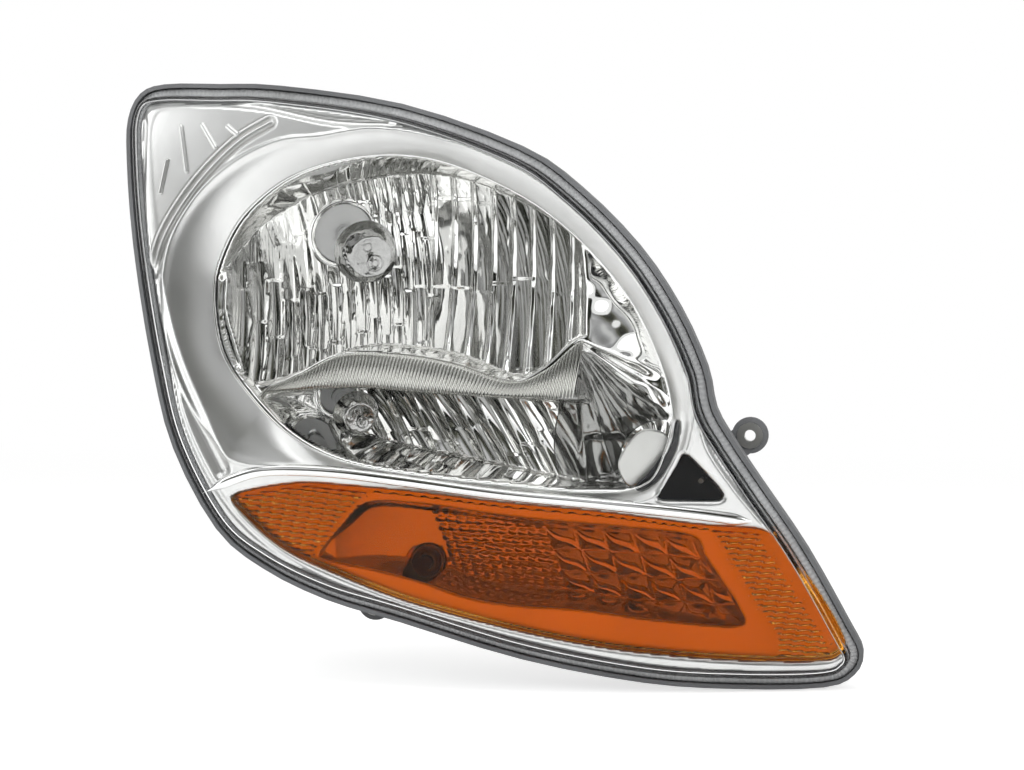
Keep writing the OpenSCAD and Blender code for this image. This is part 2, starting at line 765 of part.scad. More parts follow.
housing();
lens();
lens_sealant();
bezel();
bezel_screws();
amber_filter();
indicator_reflector();
indicator_holder();
indicator_seal();
indicator_bulb();
main_reflector();
dipped_shield();
main_shield();
dipped_bulb_base();
dipped_bulb_glass();
main_bulb_base();
main_bulb_glass();
dipped_clip();
main_clip();
pivot_stud();
pivot_socket();
height_socket();
side_socket();
height_rod();
side_rod();
levelling_motor();
motor_seal();
side_adjuster();
height_knob();
side_knob();
dipped_cover();
dipped_seal();
main_cover();
main_seal();
connector_socket();
connector_pins();
vent_caps();
mount_bushes();
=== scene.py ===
"""Car headlight assembly: clear dome lens, satin and chrome bezel, twin-bowl reflector with
shielded bulbs, amber indicator and dark rear housing. Lengths are written in millimetres in the
lamp's own view, X to the right and Z up from the top of the dome, and turned into metres of the
frame where a mesh is made."""
import math
import bmesh
import bpy
import numpy as np
from mathutils import Matrix, Vector


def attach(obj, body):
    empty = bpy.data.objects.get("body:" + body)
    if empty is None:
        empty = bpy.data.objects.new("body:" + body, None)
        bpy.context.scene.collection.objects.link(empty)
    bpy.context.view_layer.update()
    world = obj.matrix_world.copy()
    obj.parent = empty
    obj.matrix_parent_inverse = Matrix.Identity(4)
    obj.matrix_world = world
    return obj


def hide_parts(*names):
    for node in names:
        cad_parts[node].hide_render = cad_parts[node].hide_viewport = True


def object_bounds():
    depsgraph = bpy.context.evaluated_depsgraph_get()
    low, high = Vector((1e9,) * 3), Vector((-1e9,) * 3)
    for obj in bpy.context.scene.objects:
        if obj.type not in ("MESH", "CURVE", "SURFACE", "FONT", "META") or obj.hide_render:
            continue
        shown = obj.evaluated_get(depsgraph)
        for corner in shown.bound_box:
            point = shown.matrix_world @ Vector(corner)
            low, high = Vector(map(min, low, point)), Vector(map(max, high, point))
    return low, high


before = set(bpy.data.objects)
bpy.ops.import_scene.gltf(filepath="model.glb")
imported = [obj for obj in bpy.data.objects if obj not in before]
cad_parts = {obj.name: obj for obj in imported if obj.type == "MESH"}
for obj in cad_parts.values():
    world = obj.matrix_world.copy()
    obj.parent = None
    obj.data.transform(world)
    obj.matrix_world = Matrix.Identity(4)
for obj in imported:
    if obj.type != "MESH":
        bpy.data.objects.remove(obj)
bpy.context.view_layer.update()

# ---------------------------------------------------------------------------------------------
# Camera and studio. A long lens looks at the lamp's face from slightly right and above; the lamp
# rests over a pale floor before a pale wall, between large soft lamps, with dim room behind.
# ---------------------------------------------------------------------------------------------
DATUM = np.array([52.0, 140.0, 40.0])        # upper mounting hole, from the top of the dome
CAMERA_SIDE = math.radians(8.0)
CAMERA_UP = math.radians(2.0)
CAMERA_DISTANCE = 1600.0
CAMERA_LENS = 100.45


def metres(points):
    """Lamp millimetres to frame metres: take the datum off and divide by a thousand."""
    return (np.asarray(points, float) - DATUM) / 1000.0


def add_camera():
    """Puts the camera on a sphere round the aim point: aim + distance times the view direction."""
    back = Vector((math.sin(CAMERA_SIDE) * math.cos(CAMERA_UP),
                   -math.cos(CAMERA_SIDE) * math.cos(CAMERA_UP), math.sin(CAMERA_UP)))
    right = Vector((math.cos(CAMERA_SIDE), math.sin(CAMERA_SIDE), 0.0))
    up = back.cross(right)
    aim = Vector((0.0, 30.0, 0.0)) + right * 6.72 + up * 2.8
    camera = bpy.data.cameras.new("camera")
    camera.lens = CAMERA_LENS
    camera.sensor_width = 36.0
    rig = bpy.data.objects.new("camera", camera)
    bpy.context.scene.collection.objects.link(rig)
    spot = metres(aim + back * CAMERA_DISTANCE)
    turn = Matrix((right, up, back)).transposed().to_4x4()
    rig.matrix_world = Matrix.Translation(Vector(spot)) @ turn
    bpy.context.scene.camera = rig


class Value:
    """A socket that does maths: an operator adds the Math node that works it out."""

    def __init__(self, tree, socket):
        self.tree, self.socket = tree, socket

    def math(self, operation, other=None, third=None):
        """The result of one Math node."""
        return self.tree.node("ShaderNodeMath", {"operation": operation}, self, other, third)[0]

    def __add__(self, other):
        return self.math("ADD", other)

    def __sub__(self, other):
        return self.math("SUBTRACT", other)

    def __rsub__(self, other):
        return self * -1.0 + other

    def __mul__(self, other):
        return self.math("MULTIPLY", other)

    __radd__, __rmul__ = __add__, __mul__


class Tree:
    """A node tree under construction."""

    def __init__(self, owner):
        owner.use_nodes = True
        self.tree = owner.node_tree
        self.tree.nodes.clear()

    def node(self, kind, settings=None, *inputs, **named):
        """Adds a node, sets its settings, then feeds its sockets with values or links."""
        node = self.tree.nodes.new(kind)
        for key, value in (settings or {}).items():
            if key == "stops":
                ramp = node.color_ramp.elements
                while len(ramp) < len(value):
                    ramp.new(0.5)
                for stop, (place, colour) in zip(ramp, value):
                    stop.position, stop.color = place, (*colour, 1.0)
            else:
                setattr(node, key, value)
        spaced = [(key.replace("_", " "), value) for key, value in named.items()]
        for key, value in list(enumerate(inputs)) + spaced:
            if value is None:
                continue
            if isinstance(value, Value):
                self.tree.links.new(value.socket, node.inputs[key])
            else:
                node.inputs[key].default_value = value
        return [Value(self, s) for s in node.outputs]

    def object_place(self, scale=(1.0, 1.0, 1.0), turn=(0.0, 0.0, 0.0)):
        """Object coordinates, stretched and turned."""
        place = self.node("ShaderNodeTexCoord")[3]
        return self.node("ShaderNodeMapping", None, place, Scale=scale, Rotation=turn)[0]

    def noise(self, place, scale, detail=3.0, roughness=0.5):
        """Fractal noise from nought to one at the given places."""
        return self.node("ShaderNodeTexNoise", None, Vector=place, Scale=scale, Detail=detail,
                         Roughness=roughness)[0]

    def ramp(self, factor, *stops):
        """The colour that lies at factor between the stops, each a place and a colour."""
        return self.node("ShaderNodeValToRGB", {"stops": stops}, factor)[0]

    def bump(self, height, strength, distance):
        """A normal tilted by the slope of a height."""
        return self.node("ShaderNodeBump", None, Strength=strength, Distance=distance,
                         Height=height)[0]

    def finish(self, shader, kind="ShaderNodeOutputMaterial"):
        """Joins the shader to the tree's output."""
        self.node(kind, None, shader)


def add_world():
    """The room: pale walls broken by large dark shapes that chrome can show. Brightness is a
    smooth step of a slow noise of the direction looked in, dimmer near eye level."""
    world = bpy.data.worlds.new("room")
    bpy.context.scene.world = world
    t = Tree(world)
    way = t.node("ShaderNodeTexCoord")[0]
    x, y, z = t.node("ShaderNodeSeparateXYZ", None, way)
    shapes = t.noise(way, 2.6, 1.5, 0.45)
    tone = t.ramp(shapes + z * 0.12 + y * 0.06, (0.39, (0.015, 0.017, 0.014)), (0.47, (0.12, 0.12, 0.09)),
                  (0.51, (0.30, 0.30, 0.26)), (0.55, (0.48, 0.48, 0.49)), (0.63, (0.95, 0.95, 0.95)))
    light = t.node("ShaderNodeBackground", None, tone, 0.62)[0]
    t.finish(light, "ShaderNodeOutputWorld")


def add_lamp(name, place, aim, size, power):
    """A rectangular soft lamp at a place, turned to face the aim point, both in millimetres."""
    lamp = bpy.data.lights.new(name, "AREA")
    lamp.shape = "RECTANGLE"
    lamp.size, lamp.size_y = size
    lamp.energy = power
    rig = bpy.data.objects.new(name, lamp)
    bpy.context.scene.collection.objects.link(rig)
    spot, target = Vector(metres(place)), Vector(metres(aim))
    turn = (spot - target).to_track_quat("Z", "Y").to_matrix().to_4x4()
    rig.matrix_world = Matrix.Translation(spot) @ turn
    return rig


def stage_sheet(name, corners, colour):
    """A flat sheet of the studio through four corner points, matt, white where seen directly."""
    mesh = bpy.data.meshes.new(name)
    mesh.from_pydata([tuple(c) for c in metres(corners)], [], [(0, 1, 2, 3)])
    sheet = bpy.data.objects.new(name, mesh)
    bpy.context.scene.collection.objects.link(sheet)
    material = bpy.data.materials.new(name)
    mesh.materials.append(material)
    t = Tree(material)
    return t, t.node("ShaderNodeBsdfDiffuse", None, (*colour, 1.0))[0]


WHITE = (1.0, 1.0, 1.0, 1.0)
CAMERA_RAY, MIRROR_RAY, GLASS_RAY = 0, 3, 6  # outputs of the Light Path node
FLOOR_LIFT = 0.7                             # glow that evens the floor's grey
FAR_FROM, FAR_RISE = 0.8, 0.7                # metres back where the floor starts to fade, per metre
STAGE_HALF, WALL_Y = 9000.0, 7000.0


def add_stage():
    """Floor under the lamp and wall behind it; camera, mirror and glass rays see the wall white.
    Further back the floor fades to white: distance past a start, times a rate, held to 0 and 1."""
    floor_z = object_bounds()[0][2] * 1000.0 + DATUM[2] - 1.0
    half, wall_y = STAGE_HALF, WALL_Y
    t, matt = stage_sheet("floor", [(-half, -half, floor_z), (half, -half, floor_z),
                                    (half, wall_y, floor_z), (-half, wall_y, floor_z)], (0.7,) * 3)
    path = t.node("ShaderNodeLightPath")
    seen = path[CAMERA_RAY] + path[GLASS_RAY]
    lift = t.node("ShaderNodeEmission", None, WHITE, FLOOR_LIFT)[0]
    lifted = t.node("ShaderNodeAddShader", None, matt, lift)[0]
    near = t.node("ShaderNodeMixShader", None, seen, matt, lifted)[0]
    y = t.node("ShaderNodeSeparateXYZ", None, t.object_place())[1]
    far = ((y - FAR_FROM) * FAR_RISE).math("MAXIMUM", 0.0).math("MINIMUM", 1.0)
    glow = t.node("ShaderNodeEmission", None, WHITE, 1.0)[0]
    t.finish(t.node("ShaderNodeMixShader", None, far * seen, near, glow)[0])
    t, matt = stage_sheet("wall", [(-half, wall_y, floor_z), (half, wall_y, floor_z),
                                   (half, wall_y, half), (-half, wall_y, half)], (0.9,) * 3)
    path = t.node("ShaderNodeLightPath")
    seen = path[CAMERA_RAY] + path[MIRROR_RAY] + path[GLASS_RAY]
    glow = t.node("ShaderNodeEmission", None, WHITE, 1.0)[0]
    t.finish(t.node("ShaderNodeMixShader", None, seen, matt, glow)[0])


scene = bpy.context.scene
scene.view_settings.view_transform = "Standard"
scene.cycles.transmission_bounces = 16
scene.cycles.glossy_bounces = 8
scene.cycles.max_bounces = 24
add_camera()
add_world()
add_stage()
add_lamp("top", (-200, -350, 1300), (0, 60, 0), (1.6, 1.0), 8.0)
add_lamp("left", (-1350, -300, 300), (0, 30, 0), (0.6, 1.4), 4.5)
fill = add_lamp("fill", (250, -1500, 250), (0, 60, 0), (1.4, 1.4), 22.0)
fill.visible_glossy = fill.visible_transmission = False
add_lamp("right", (1400, -350, 300), (0, 30, 0), (0.4, 1.2), 3.0)

# ---------------------------------------------------------------------------------------------
# Housing: one deep black-grey moulding of filled plastic, grained where the tool was etched, with
# a glue channel round its rim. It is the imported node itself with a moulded-plastic finish.
# ---------------------------------------------------------------------------------------------
def plastic(name, colour, roughness=0.5, grain=900.0, depth=0.00006):
    """Moulded plastic: a fine etched grain, slightly uneven gloss and a hint of dust."""
    material = bpy.data.materials.new(name)
    t = Tree(material)
    place = t.object_place()
    fine = t.noise(place, grain, 2.0)
    broad = t.noise(place, 14.0, 4.0, 0.6)
    dark, pale = [tuple(c * k for c in colour) for k in (0.8, 1.35)]
    shader = t.node("ShaderNodeBsdfPrincipled", None, Base_Color=t.ramp(broad, (0.3, dark), (0.75, pale)),
                    Roughness=broad * 0.22 + (roughness - 0.1),
                    Normal=t.bump(fine, 0.35, depth))[0]
    t.finish(shader)
    return material


def dress(node, material):
    """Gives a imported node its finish."""
    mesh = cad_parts[node].data
    mesh.materials.clear()
    mesh.materials.append(material)


housing_grain = plastic("housing_grain", (0.13, 0.133, 0.138), 0.5)
black_plastic = plastic("black_plastic", (0.022, 0.022, 0.024), 0.42)
rubber = plastic("seal_rubber", (0.018, 0.018, 0.018), 0.68, 500.0)
nylon = plastic("nylon", (0.72, 0.70, 0.62), 0.42)
butyl = plastic("butyl", (0.26, 0.26, 0.265), 0.4, 150.0, 0.0004)
dress("housing", housing_grain)
dress("lens_sealant", butyl)
for name in ("levelling_motor", "side_adjuster", "indicator_holder", "connector_socket",
             "dipped_cover", "main_cover"):
    dress(name, black_plastic)
for name in ("motor_seal", "dipped_seal", "main_seal", "indicator_seal", "vent_caps"):
    dress(name, rubber)
for name in ("pivot_socket", "height_socket", "side_socket", "height_knob", "side_knob"):
    dress(name, nylon)


# ---------------------------------------------------------------------------------------------
# Lens: injection-moulded clear dome with a rolled edge, a skirt into the glue channel and a foot
# round it. The foot is knurled so that it keys into the glue, which makes it look frosted grey.
# ---------------------------------------------------------------------------------------------
DOME_R = 620.0
RIM = [(-169, 175), (-205, 176), (-221, 171), (-228, 156), (-227, 132), (-220, 82), (-206, 12),
       (-193, -35), (-167, -81), (-139, -103), (-101, -120), (-57, -132), (12, -152), (79, -165),
       (130, -169), (180, -169), (197, -162), (202, -149), (194, -131), (171, -88), (146, -50),
       (131, -27), (121, -9), (116, 14), (101, 47), (78, 81), (45, 114), (11, 137), (-57, 161),
       (-131, 173)]


def closed_curve(points, count):
    """Count points evenly spaced along the closed Catmull-Rom curve through the given ones."""
    p = np.asarray(points, float)
    a, b, c, d = (np.roll(p, k, axis=0)[:, None, :] for k in (1, 0, -1, -2))
    t = np.linspace(0, 1, 48, endpoint=False)[None, :, None]
    fine = 0.5 * (2 * b + (c - a) * t + (2 * a - 5 * b + 4 * c - d) * t ** 2
                  + (3 * b - a - 3 * c + d) * t ** 3)
    fine = fine.reshape(-1, 2)
    step = np.linalg.norm(np.roll(fine, -1, axis=0) - fine, axis=1)
    along = np.concatenate([[0.0], np.cumsum(step)])
    want = np.linspace(0, along[-1], count, endpoint=False)
    ring = np.vstack([fine, fine[:1]])
    return np.stack([np.interp(want, along, ring[:, k]) for k in (0, 1)], axis=1)


def sag(x, z):
    """How far behind its top the dome lies at x, z: R minus the root of R squared less r squared."""
    return DOME_R - np.sqrt(DOME_R ** 2 - x ** 2 - z ** 2)


def outward(curve):
    """Unit normals of a closed curve, pointing away from what it encloses."""
    along = np.roll(curve, -1, axis=0) - np.roll(curve, 1, axis=0)
    turn = np.stack([along[:, 1], -along[:, 0]], axis=1)
    turn /= np.linalg.norm(turn, axis=1, keepdims=True)
    area = np.sum(curve[:, 0] * np.roll(curve[:, 1], -1) - curve[:, 1] * np.roll(curve[:, 0], -1))
    return turn if area > 0 else -turn


def grown(curve, by):
    """A closed curve moved outwards along its normals."""
    return curve + outward(curve) * by


def loft(rings, closed_across=False):
    """Faces between successive rings of equal point counts, each ring a closed loop."""
    count, ring = len(rings), len(rings[0])
    points = np.concatenate(rings)
    i = np.arange(count if closed_across else count - 1)[:, None]
    j = np.arange(ring)[None, :]
    a, b = i * ring + j, i * ring + (j + 1) % ring
    c, d = ((i + 1) % count) * ring + (j + 1) % ring, ((i + 1) % count) * ring + j
    faces = np.stack([a, b, c, d], axis=-1).reshape(-1, 4)
    return points, faces


rim_curve = closed_curve(RIM, 900)


def clear_plastic(name, colour, roughness, ior=1.49, gleam=0.12):
    """Clear moulding: it refracts and reflects, and lets the studio's light straight through."""
    material = bpy.data.materials.new(name)
    t = Tree(material)
    solid = t.node("ShaderNodeBsdfPrincipled", None, Base_Color=(*colour, 1.0), Roughness=roughness,
                   IOR=ior, Transmission_Weight=1.0, Specular_Tint=(gleam, gleam, gleam, 1.0))[0]
    open_way = t.node("ShaderNodeBsdfTransparent", None, (*colour, 1.0))[0]
    shadow = t.node("ShaderNodeLightPath")[1]
    t.finish(t.node("ShaderNodeMixShader", None, shadow, solid, open_way)[0])
    return material


LENS_T = 3.0
LENS_INSET = 8.0
EDGE_ROLL = 4.0
SKIRT_END = 26.5
FOOT_S = (19.0, 22.0)
LENS_MIDDLE = np.array([-12.0, 4.0])


def ring_at(curve, inset, shift):
    """A closed ring that lies inset from the curve, behind the dome by shift."""
    flat = grown(curve, -inset)
    return np.stack([flat[:, 0], sag(flat[:, 0], flat[:, 1]) + shift, flat[:, 1]], axis=1)


def dome_ring(curve, inset, share, shift):
    """A share of the way from the dome's middle to the ring at that inset, back by shift."""
    flat = grown(curve, -inset)
    flat = LENS_MIDDLE + (flat - LENS_MIDDLE) * share
    return np.stack([flat[:, 0], sag(flat[:, 0], flat[:, 1]) + shift, flat[:, 1]], axis=1)


def build_lens():
    """Rings from the middle of the outer face, over the rolled edge, down the skirt and back up
    inside to the middle of the inner face; each end is closed on one point."""
    edge = grown(rim_curve, -LENS_INSET)
    shares = np.linspace(0.03, 1.0, 30)
    bend = np.linspace(0, math.pi / 2, 8)[1:]
    inner_roll = EDGE_ROLL - LENS_T
    rings = [dome_ring(edge, EDGE_ROLL, s, 0.0) for s in shares]
    rings += [ring_at(edge, EDGE_ROLL * (1 - math.sin(b)), EDGE_ROLL * (1 - math.cos(b))) for b in bend]
    rings += [ring_at(edge, 0.0, s) for s in np.linspace(8, SKIRT_END, 6)]
    rings += [ring_at(edge, LENS_T - 0.4, s) for s in np.linspace(SKIRT_END, 8, 6)]
    rings += [ring_at(edge, LENS_T + inner_roll * (1 - math.sin(b)),
                      LENS_T + inner_roll * (1 - math.cos(b))) for b in bend[::-1]]
    rings += [dome_ring(edge, EDGE_ROLL, s, LENS_T) for s in shares[::-1]]
    points, faces = loft(rings)
    ring = len(rim_curve)
    top, under = len(points), len(points) + 1
    middle_x, middle_z = LENS_MIDDLE
    deep = sag(middle_x, middle_z)
    points = np.vstack([points, [[middle_x, deep, middle_z], [middle_x, deep + LENS_T, middle_z]]])
    j = np.arange(ring)
    fan_top = np.stack([np.full(ring, top), (j + 1) % ring, j], axis=1)
    last = top - ring
    fan_under = np.stack([np.full(ring, under), last + j, last + (j + 1) % ring], axis=1)
    mesh_faces = faces.tolist() + fan_top.tolist() + fan_under.tolist()
    mesh = bpy.data.meshes.new("lens_dome")
    mesh.from_pydata(metres(points).tolist(), [], mesh_faces)
    return mesh


def outward_faces(mesh):
    """Turns every face of a closed mesh to point outwards."""
    work = bmesh.new()
    work.from_mesh(mesh)
    bmesh.ops.recalc_face_normals(work, faces=work.faces)
    work.to_mesh(mesh)
    work.free()


def add_object(mesh, name, body, material, replaces=()):
    """Links a finished mesh as a piece of the lamp."""
    outward_faces(mesh)
    mesh.shade_smooth()
    mesh.materials.append(material)
    piece = bpy.data.objects.new(name, mesh)
    bpy.context.scene.collection.objects.link(piece)
    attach(piece, body)
    if replaces:
        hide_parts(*replaces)
    return piece


clear_lens = clear_plastic("clear_lens", (0.985, 0.99, 0.99), 0.0)
frosted_foot = plastic("frosted_foot", (0.40, 0.405, 0.41), 0.3)
add_object(build_lens(), "lens_dome", "housing", clear_lens, ("lens",))

FOOT_RIBS = 420
foot_curve = closed_curve(RIM, FOOT_RIBS * 6)


def build_foot():
    """A flat ring round the skirt whose face rises and falls in cosine ribs across it."""
    rib = 0.35 * np.cos(np.arange(len(foot_curve)) * 2 * math.pi / 6)
    rings = []
    for inset, shift, share in ((7.6, FOOT_S[0], 0.0), (7.0, FOOT_S[0] - 0.5, 1.0),
                                (5.2, FOOT_S[0] - 0.5, 1.0), (3.6, FOOT_S[0], 1.0),
                                (3.2, FOOT_S[0] + 0.8, 0.3), (3.1, FOOT_S[1], 0.0),
                                (7.6, FOOT_S[1], 0.0)):
        ring = ring_at(foot_curve, inset, shift)
        ring[:, 1] += rib * share
        rings.append(ring)
    points, faces = loft(rings, closed_across=True)
    mesh = bpy.data.meshes.new("lens_foot")
    mesh.from_pydata(metres(points).tolist(), [], faces.tolist())
    return mesh


add_object(build_foot(), "lens_foot", "housing", frosted_foot)


# ---------------------------------------------------------------------------------------------
# Bezel: a thin moulding, vacuum-metallised to a satin silver and lacquered. A broad band slopes
# round the bowls; the corner pad, the crescent groove and the valley beside it are drawn in.
# ---------------------------------------------------------------------------------------------
def metallised(name, colour, roughness, ripple=0.0, ripple_scale=30.0, cloud=0.06):
    """Evaporated aluminium under lacquer: mirror metal, a little uneven in gloss and level."""
    material = bpy.data.materials.new(name)
    t = Tree(material)
    place = t.object_place()
    broad = t.noise(place, 22.0, 3.0, 0.55)
    fine = t.noise(place, 900.0, 2.0)
    level = t.noise(place, ripple_scale, 2.0)
    dark = tuple(c * 0.86 for c in colour)
    shader = t.node("ShaderNodeBsdfPrincipled", None,
                    Base_Color=t.ramp(broad, (0.3, dark), (0.7, colour)), Metallic=1.0,
                    Roughness=broad * cloud + fine * (cloud * 0.5) + (roughness - cloud * 0.6),
                    Normal=t.bump(level, ripple, 0.002))[0]
    t.finish(shader)
    return material


satin_silver = metallised("satin_silver", (0.80, 0.80, 0.79), 0.30, 0.05)
bright_chrome = metallised("bright_chrome", (0.88, 0.88, 0.87), 0.06, 0.04)
BEZEL = [(-212, 149), (-212, 159), (-198, 162), (-147, 159), (-98, 149), (-45, 144), (12, 124),
         (57, 92), (91, 51), (107, 12), (113, -16), (117, -32), (132, -55), (152, -80),
         (178, -114), (194, -141), (195, -151), (184, -157), (134, -157), (79, -152), (23, -141),
         (-22, -130), (-68, -117), (-108, -102), (-138, -83), (-159, -61), (-177, -30),
         (-191, 10), (-203, 56), (-210, 102)]
MOUTH = [(-167, 50), (-164, 72), (-149, 99), (-119, 121), (-77, 131), (-36, 128), (10, 109),
         (44, 84), (73, 50), (89, 17), (96, -12), (92, -34), (82, -51), (56, -56), (0, -52),
         (-57, -46), (-93, -39), (-120, -26), (-143, -5), (-161, 20)]
AMBER = [(-155, -63), (-144, -58), (-113, -53), (-84, -54), (-43, -57), (2, -62), (58, -67),
         (112, -74), (148, -78), (162, -94), (178, -117), (190, -141), (188, -149), (175, -152),
         (134, -151), (78, -146), (34, -139), (-11, -129), (-56, -117), (-97, -102),
         (-126, -89), (-147, -72)]


def open_curve(points, count):
    """Count points evenly spaced along the open Catmull-Rom curve through the given ones."""
    p = np.asarray(points, float)
    p = np.vstack([2 * p[0] - p[1], p, 2 * p[-1] - p[-2]])
    a, b, c, d = p[:-3, None], p[1:-2, None], p[2:-1, None], p[3:, None]
    t = np.linspace(0, 1, 48, endpoint=False)[None, :, None]
    fine = 0.5 * (2 * b + (c - a) * t + (2 * a - 5 * b + 4 * c - d) * t ** 2
                  + (3 * b - a - 3 * c + d) * t ** 3)
    fine = np.vstack([fine.reshape(-1, p.shape[1]), p[-2:-1]])
    along = np.concatenate([[0.0], np.cumsum(np.linalg.norm(np.diff(fine, axis=0), axis=1))])
    want = np.linspace(0, along[-1], count)
    return np.stack([np.interp(want, along, fine[:, k]) for k in range(p.shape[1])], axis=1)


def in_blocks(work, x, z):
    """Runs work on a few thousand points at a time, each block against a whole curve at once, and
    joins the blocks in the shape of x."""
    count = x.size // 3000 + 1
    blocks = zip(np.array_split(x.ravel(), count), np.array_split(z.ravel(), count))
    found = np.concatenate([work(bx[:, None], bz[:, None]) for bx, bz in blocks])
    return found.reshape(x.shape + found.shape[1:])


def inside(x, z, curve):
    """Even-odd test against a closed curve: a point is inside if a line from it to the right
    crosses an odd number of the curve's pieces."""
    (ax, az), (bx, bz) = curve.T, np.roll(curve, -1, axis=0).T
    rise = np.where(bz == az, 1.0, bz - az)

    def odd(px, pz):
        crossed = ((az > pz) != (bz > pz)) & (px < (bx - ax) * (pz - az) / rise + ax)
        return crossed.sum(axis=1) % 2 == 1

    return in_blocks(odd, x, z)


def distance_to(x, z, curve, closed=True):
    """Distance from points to a curve, and the nearest point on it: each is dropped square onto
    every piece of the curve, held between the piece's ends, and the shortest drop is kept."""
    ax, az = (curve if closed else curve[:-1]).T
    bx, bz = (np.roll(curve, -1, axis=0) if closed else curve[1:]).T
    dx, dz = bx - ax, bz - az

    def nearest(px, pz):
        t = np.clip(((px - ax) * dx + (pz - az) * dz) / (dx * dx + dz * dz + 1e-12), 0, 1)
        fx, fz = ax + t * dx, az + t * dz
        away = np.hypot(px - fx, pz - fz)
        row, pick = np.arange(len(away)), away.argmin(axis=1)
        return np.stack([away[row, pick], fx[row, pick], fz[row, pick]], axis=1)

    found = in_blocks(nearest, x, z)
    return found[..., 0], found[..., 1:]


def smooth(value, low, high):
    """Zero below low, one above high, and an S curve between."""
    t = np.clip((value - low) / (high - low), 0, 1)
    return t * t * (3 - 2 * t)


def patch(outline, holes, step, height):
    """A sheet over a region of X and Z: a square grid of the given step, with the vertices along
    its edge drawn onto the outlines, at the depth that height(x, z) gives."""
    low, high = outline.min(axis=0) - step, outline.max(axis=0) + step
    xs = np.arange(low[0], high[0], step)
    zs = np.arange(low[1], high[1], step)
    x, z = np.meshgrid(xs, zs, indexing="ij")
    cx, cz = x[:-1, :-1] + step / 2, z[:-1, :-1] + step / 2
    keep = inside(cx, cz, outline)
    for hole in holes:
        keep &= ~inside(cx, cz, hole)
    uses = np.zeros(x.shape, int)
    for i, j in ((0, 0), (1, 0), (1, 1), (0, 1)):
        uses[i:i + keep.shape[0], j:j + keep.shape[1]] += keep
    edge = (uses > 0) & (uses < 4)
    best, drawn = distance_to(x[edge], z[edge], outline)
    for hole in holes:
        d, near = distance_to(x[edge], z[edge], hole)
        closer = d < best
        best[closer], drawn[closer] = d[closer], near[closer]
    x[edge], z[edge] = drawn[:, 0], drawn[:, 1]
    number = -np.ones(x.shape, int)
    used = uses > 0
    number[used] = np.arange(used.sum())
    y = height(x[used], z[used])
    points = np.stack([x[used], y, z[used]], axis=1)
    corner = [number[:-1, :-1], number[1:, :-1], number[1:, 1:], number[:-1, 1:]]
    faces = np.stack([c[keep] for c in corner], axis=1)
    return points, faces


def thicken(piece, depth):
    """Gives a sheet a wall behind its face."""
    wall = piece.modifiers.new("wall", "SOLIDIFY")
    wall.thickness = depth / 1000.0
    wall.offset = -1.0
    wall.use_even_offset = False


bezel_curve = closed_curve(BEZEL, 700)
mouth_curve = closed_curve(MOUTH, 500)
amber_curve = closed_curve(AMBER, 500)
BEZEL_S = 10.0
RING_OUT = [(-103, 143), (-127, 141), (-150, 132), (-170, 118), (-185, 101), (-195, 79),
            (-198, 50), (-194, 22), (-182, -7), (-165, -30), (-150, -42), (-110, -45), (-57, -52),
            (0, -58), (50, -62), (84, -60), (101, -44), (109, -20), (107, 0), (100, 34), (84, 64),
            (61, 92), (33, 115), (-1, 132), (-35, 141), (-69, 147)]
ring_curve = closed_curve(RING_OUT, 300)
CRESCENT = [(-134, 151), (-152, 141), (-170, 125), (-186, 106), (-198, 86), (-204, 66)]
VALLEY = [(-203, 60), (-196, 30), (-186, 4), (-172, -24), (-160, -46)]
crescent_line = open_curve(CRESCENT, 60)
valley_line = open_curve(VALLEY, 60)


RECESS = closed_curve([(104, -35), (113, -43), (124, -56), (122, -60), (106, -60), (90, -59),
                       (93, -52), (99, -42)], 120)
SLOT = closed_curve([(101, -17), (100, -30), (94, -43), (88, -50), (80, -55), (77, -54), (85, -46),
                     (92, -36), (96, -27), (98, -17)], 120)


BAND_FALL = 11.8                             # slope of the band, from the ring to the bowls
LIP_RISE, LIP_W = 1.6, 1.2                   # step at the ring
GROOVE_D, VALLEY_D = 5.0, 4.0                # crescent groove, and the valley down the left side
EDGE_FALL, EDGE_BEAD = 3.4, 0.9              # outer edge
WINDOW_DROP, RECESS_BEVEL = 2.6, 2.2         # edges of the amber window and of the recess


def bezel_depth(x, z):
    """The dome's depth plus the band's fall towards the bowls, a deep groove along the crescent,
    a shallow valley down the left side and a rolled outer edge."""
    to_mouth, _ = distance_to(x, z, mouth_curve)
    to_ring, _ = distance_to(x, z, ring_curve)
    in_ring = inside(x, z, ring_curve)
    share = np.where(in_ring, to_mouth / (to_mouth + to_ring + 1e-6), 1.0)
    fall = BAND_FALL * (1 - share) ** 1.6
    step = np.where(in_ring, np.exp(-((share - 1.0) * 9) ** 2), 1 - smooth(to_ring, 0.0, LIP_W))
    to_crescent, _ = distance_to(x, z, crescent_line, closed=False)
    groove = GROOVE_D * (1 - smooth(to_crescent, 1.0, 4.5))
    to_valley, _ = distance_to(x, z, valley_line, closed=False)
    valley = VALLEY_D * (1 - smooth(to_valley, 1.0, 7.0))
    to_edge, _ = distance_to(x, z, bezel_curve)
    to_edge = np.where(inside(x, z, bezel_curve), to_edge, -to_edge)
    roll = EDGE_FALL * (1 - smooth(to_edge, -1.2, 0.6)) + EDGE_BEAD * np.exp(-(to_edge + 2.6) ** 2)
    to_amber, _ = distance_to(x, z, amber_curve)
    drop = WINDOW_DROP * (1 - smooth(to_amber, 0.0, 2.5))
    to_recess, _ = distance_to(x, z, RECESS)
    bevel = RECESS_BEVEL * (1 - smooth(to_recess, 0.0, 2.4))
    face = sag(x, z) + BEZEL_S + fall - LIP_RISE * step
    return face + groove + valley + roll + drop + bevel


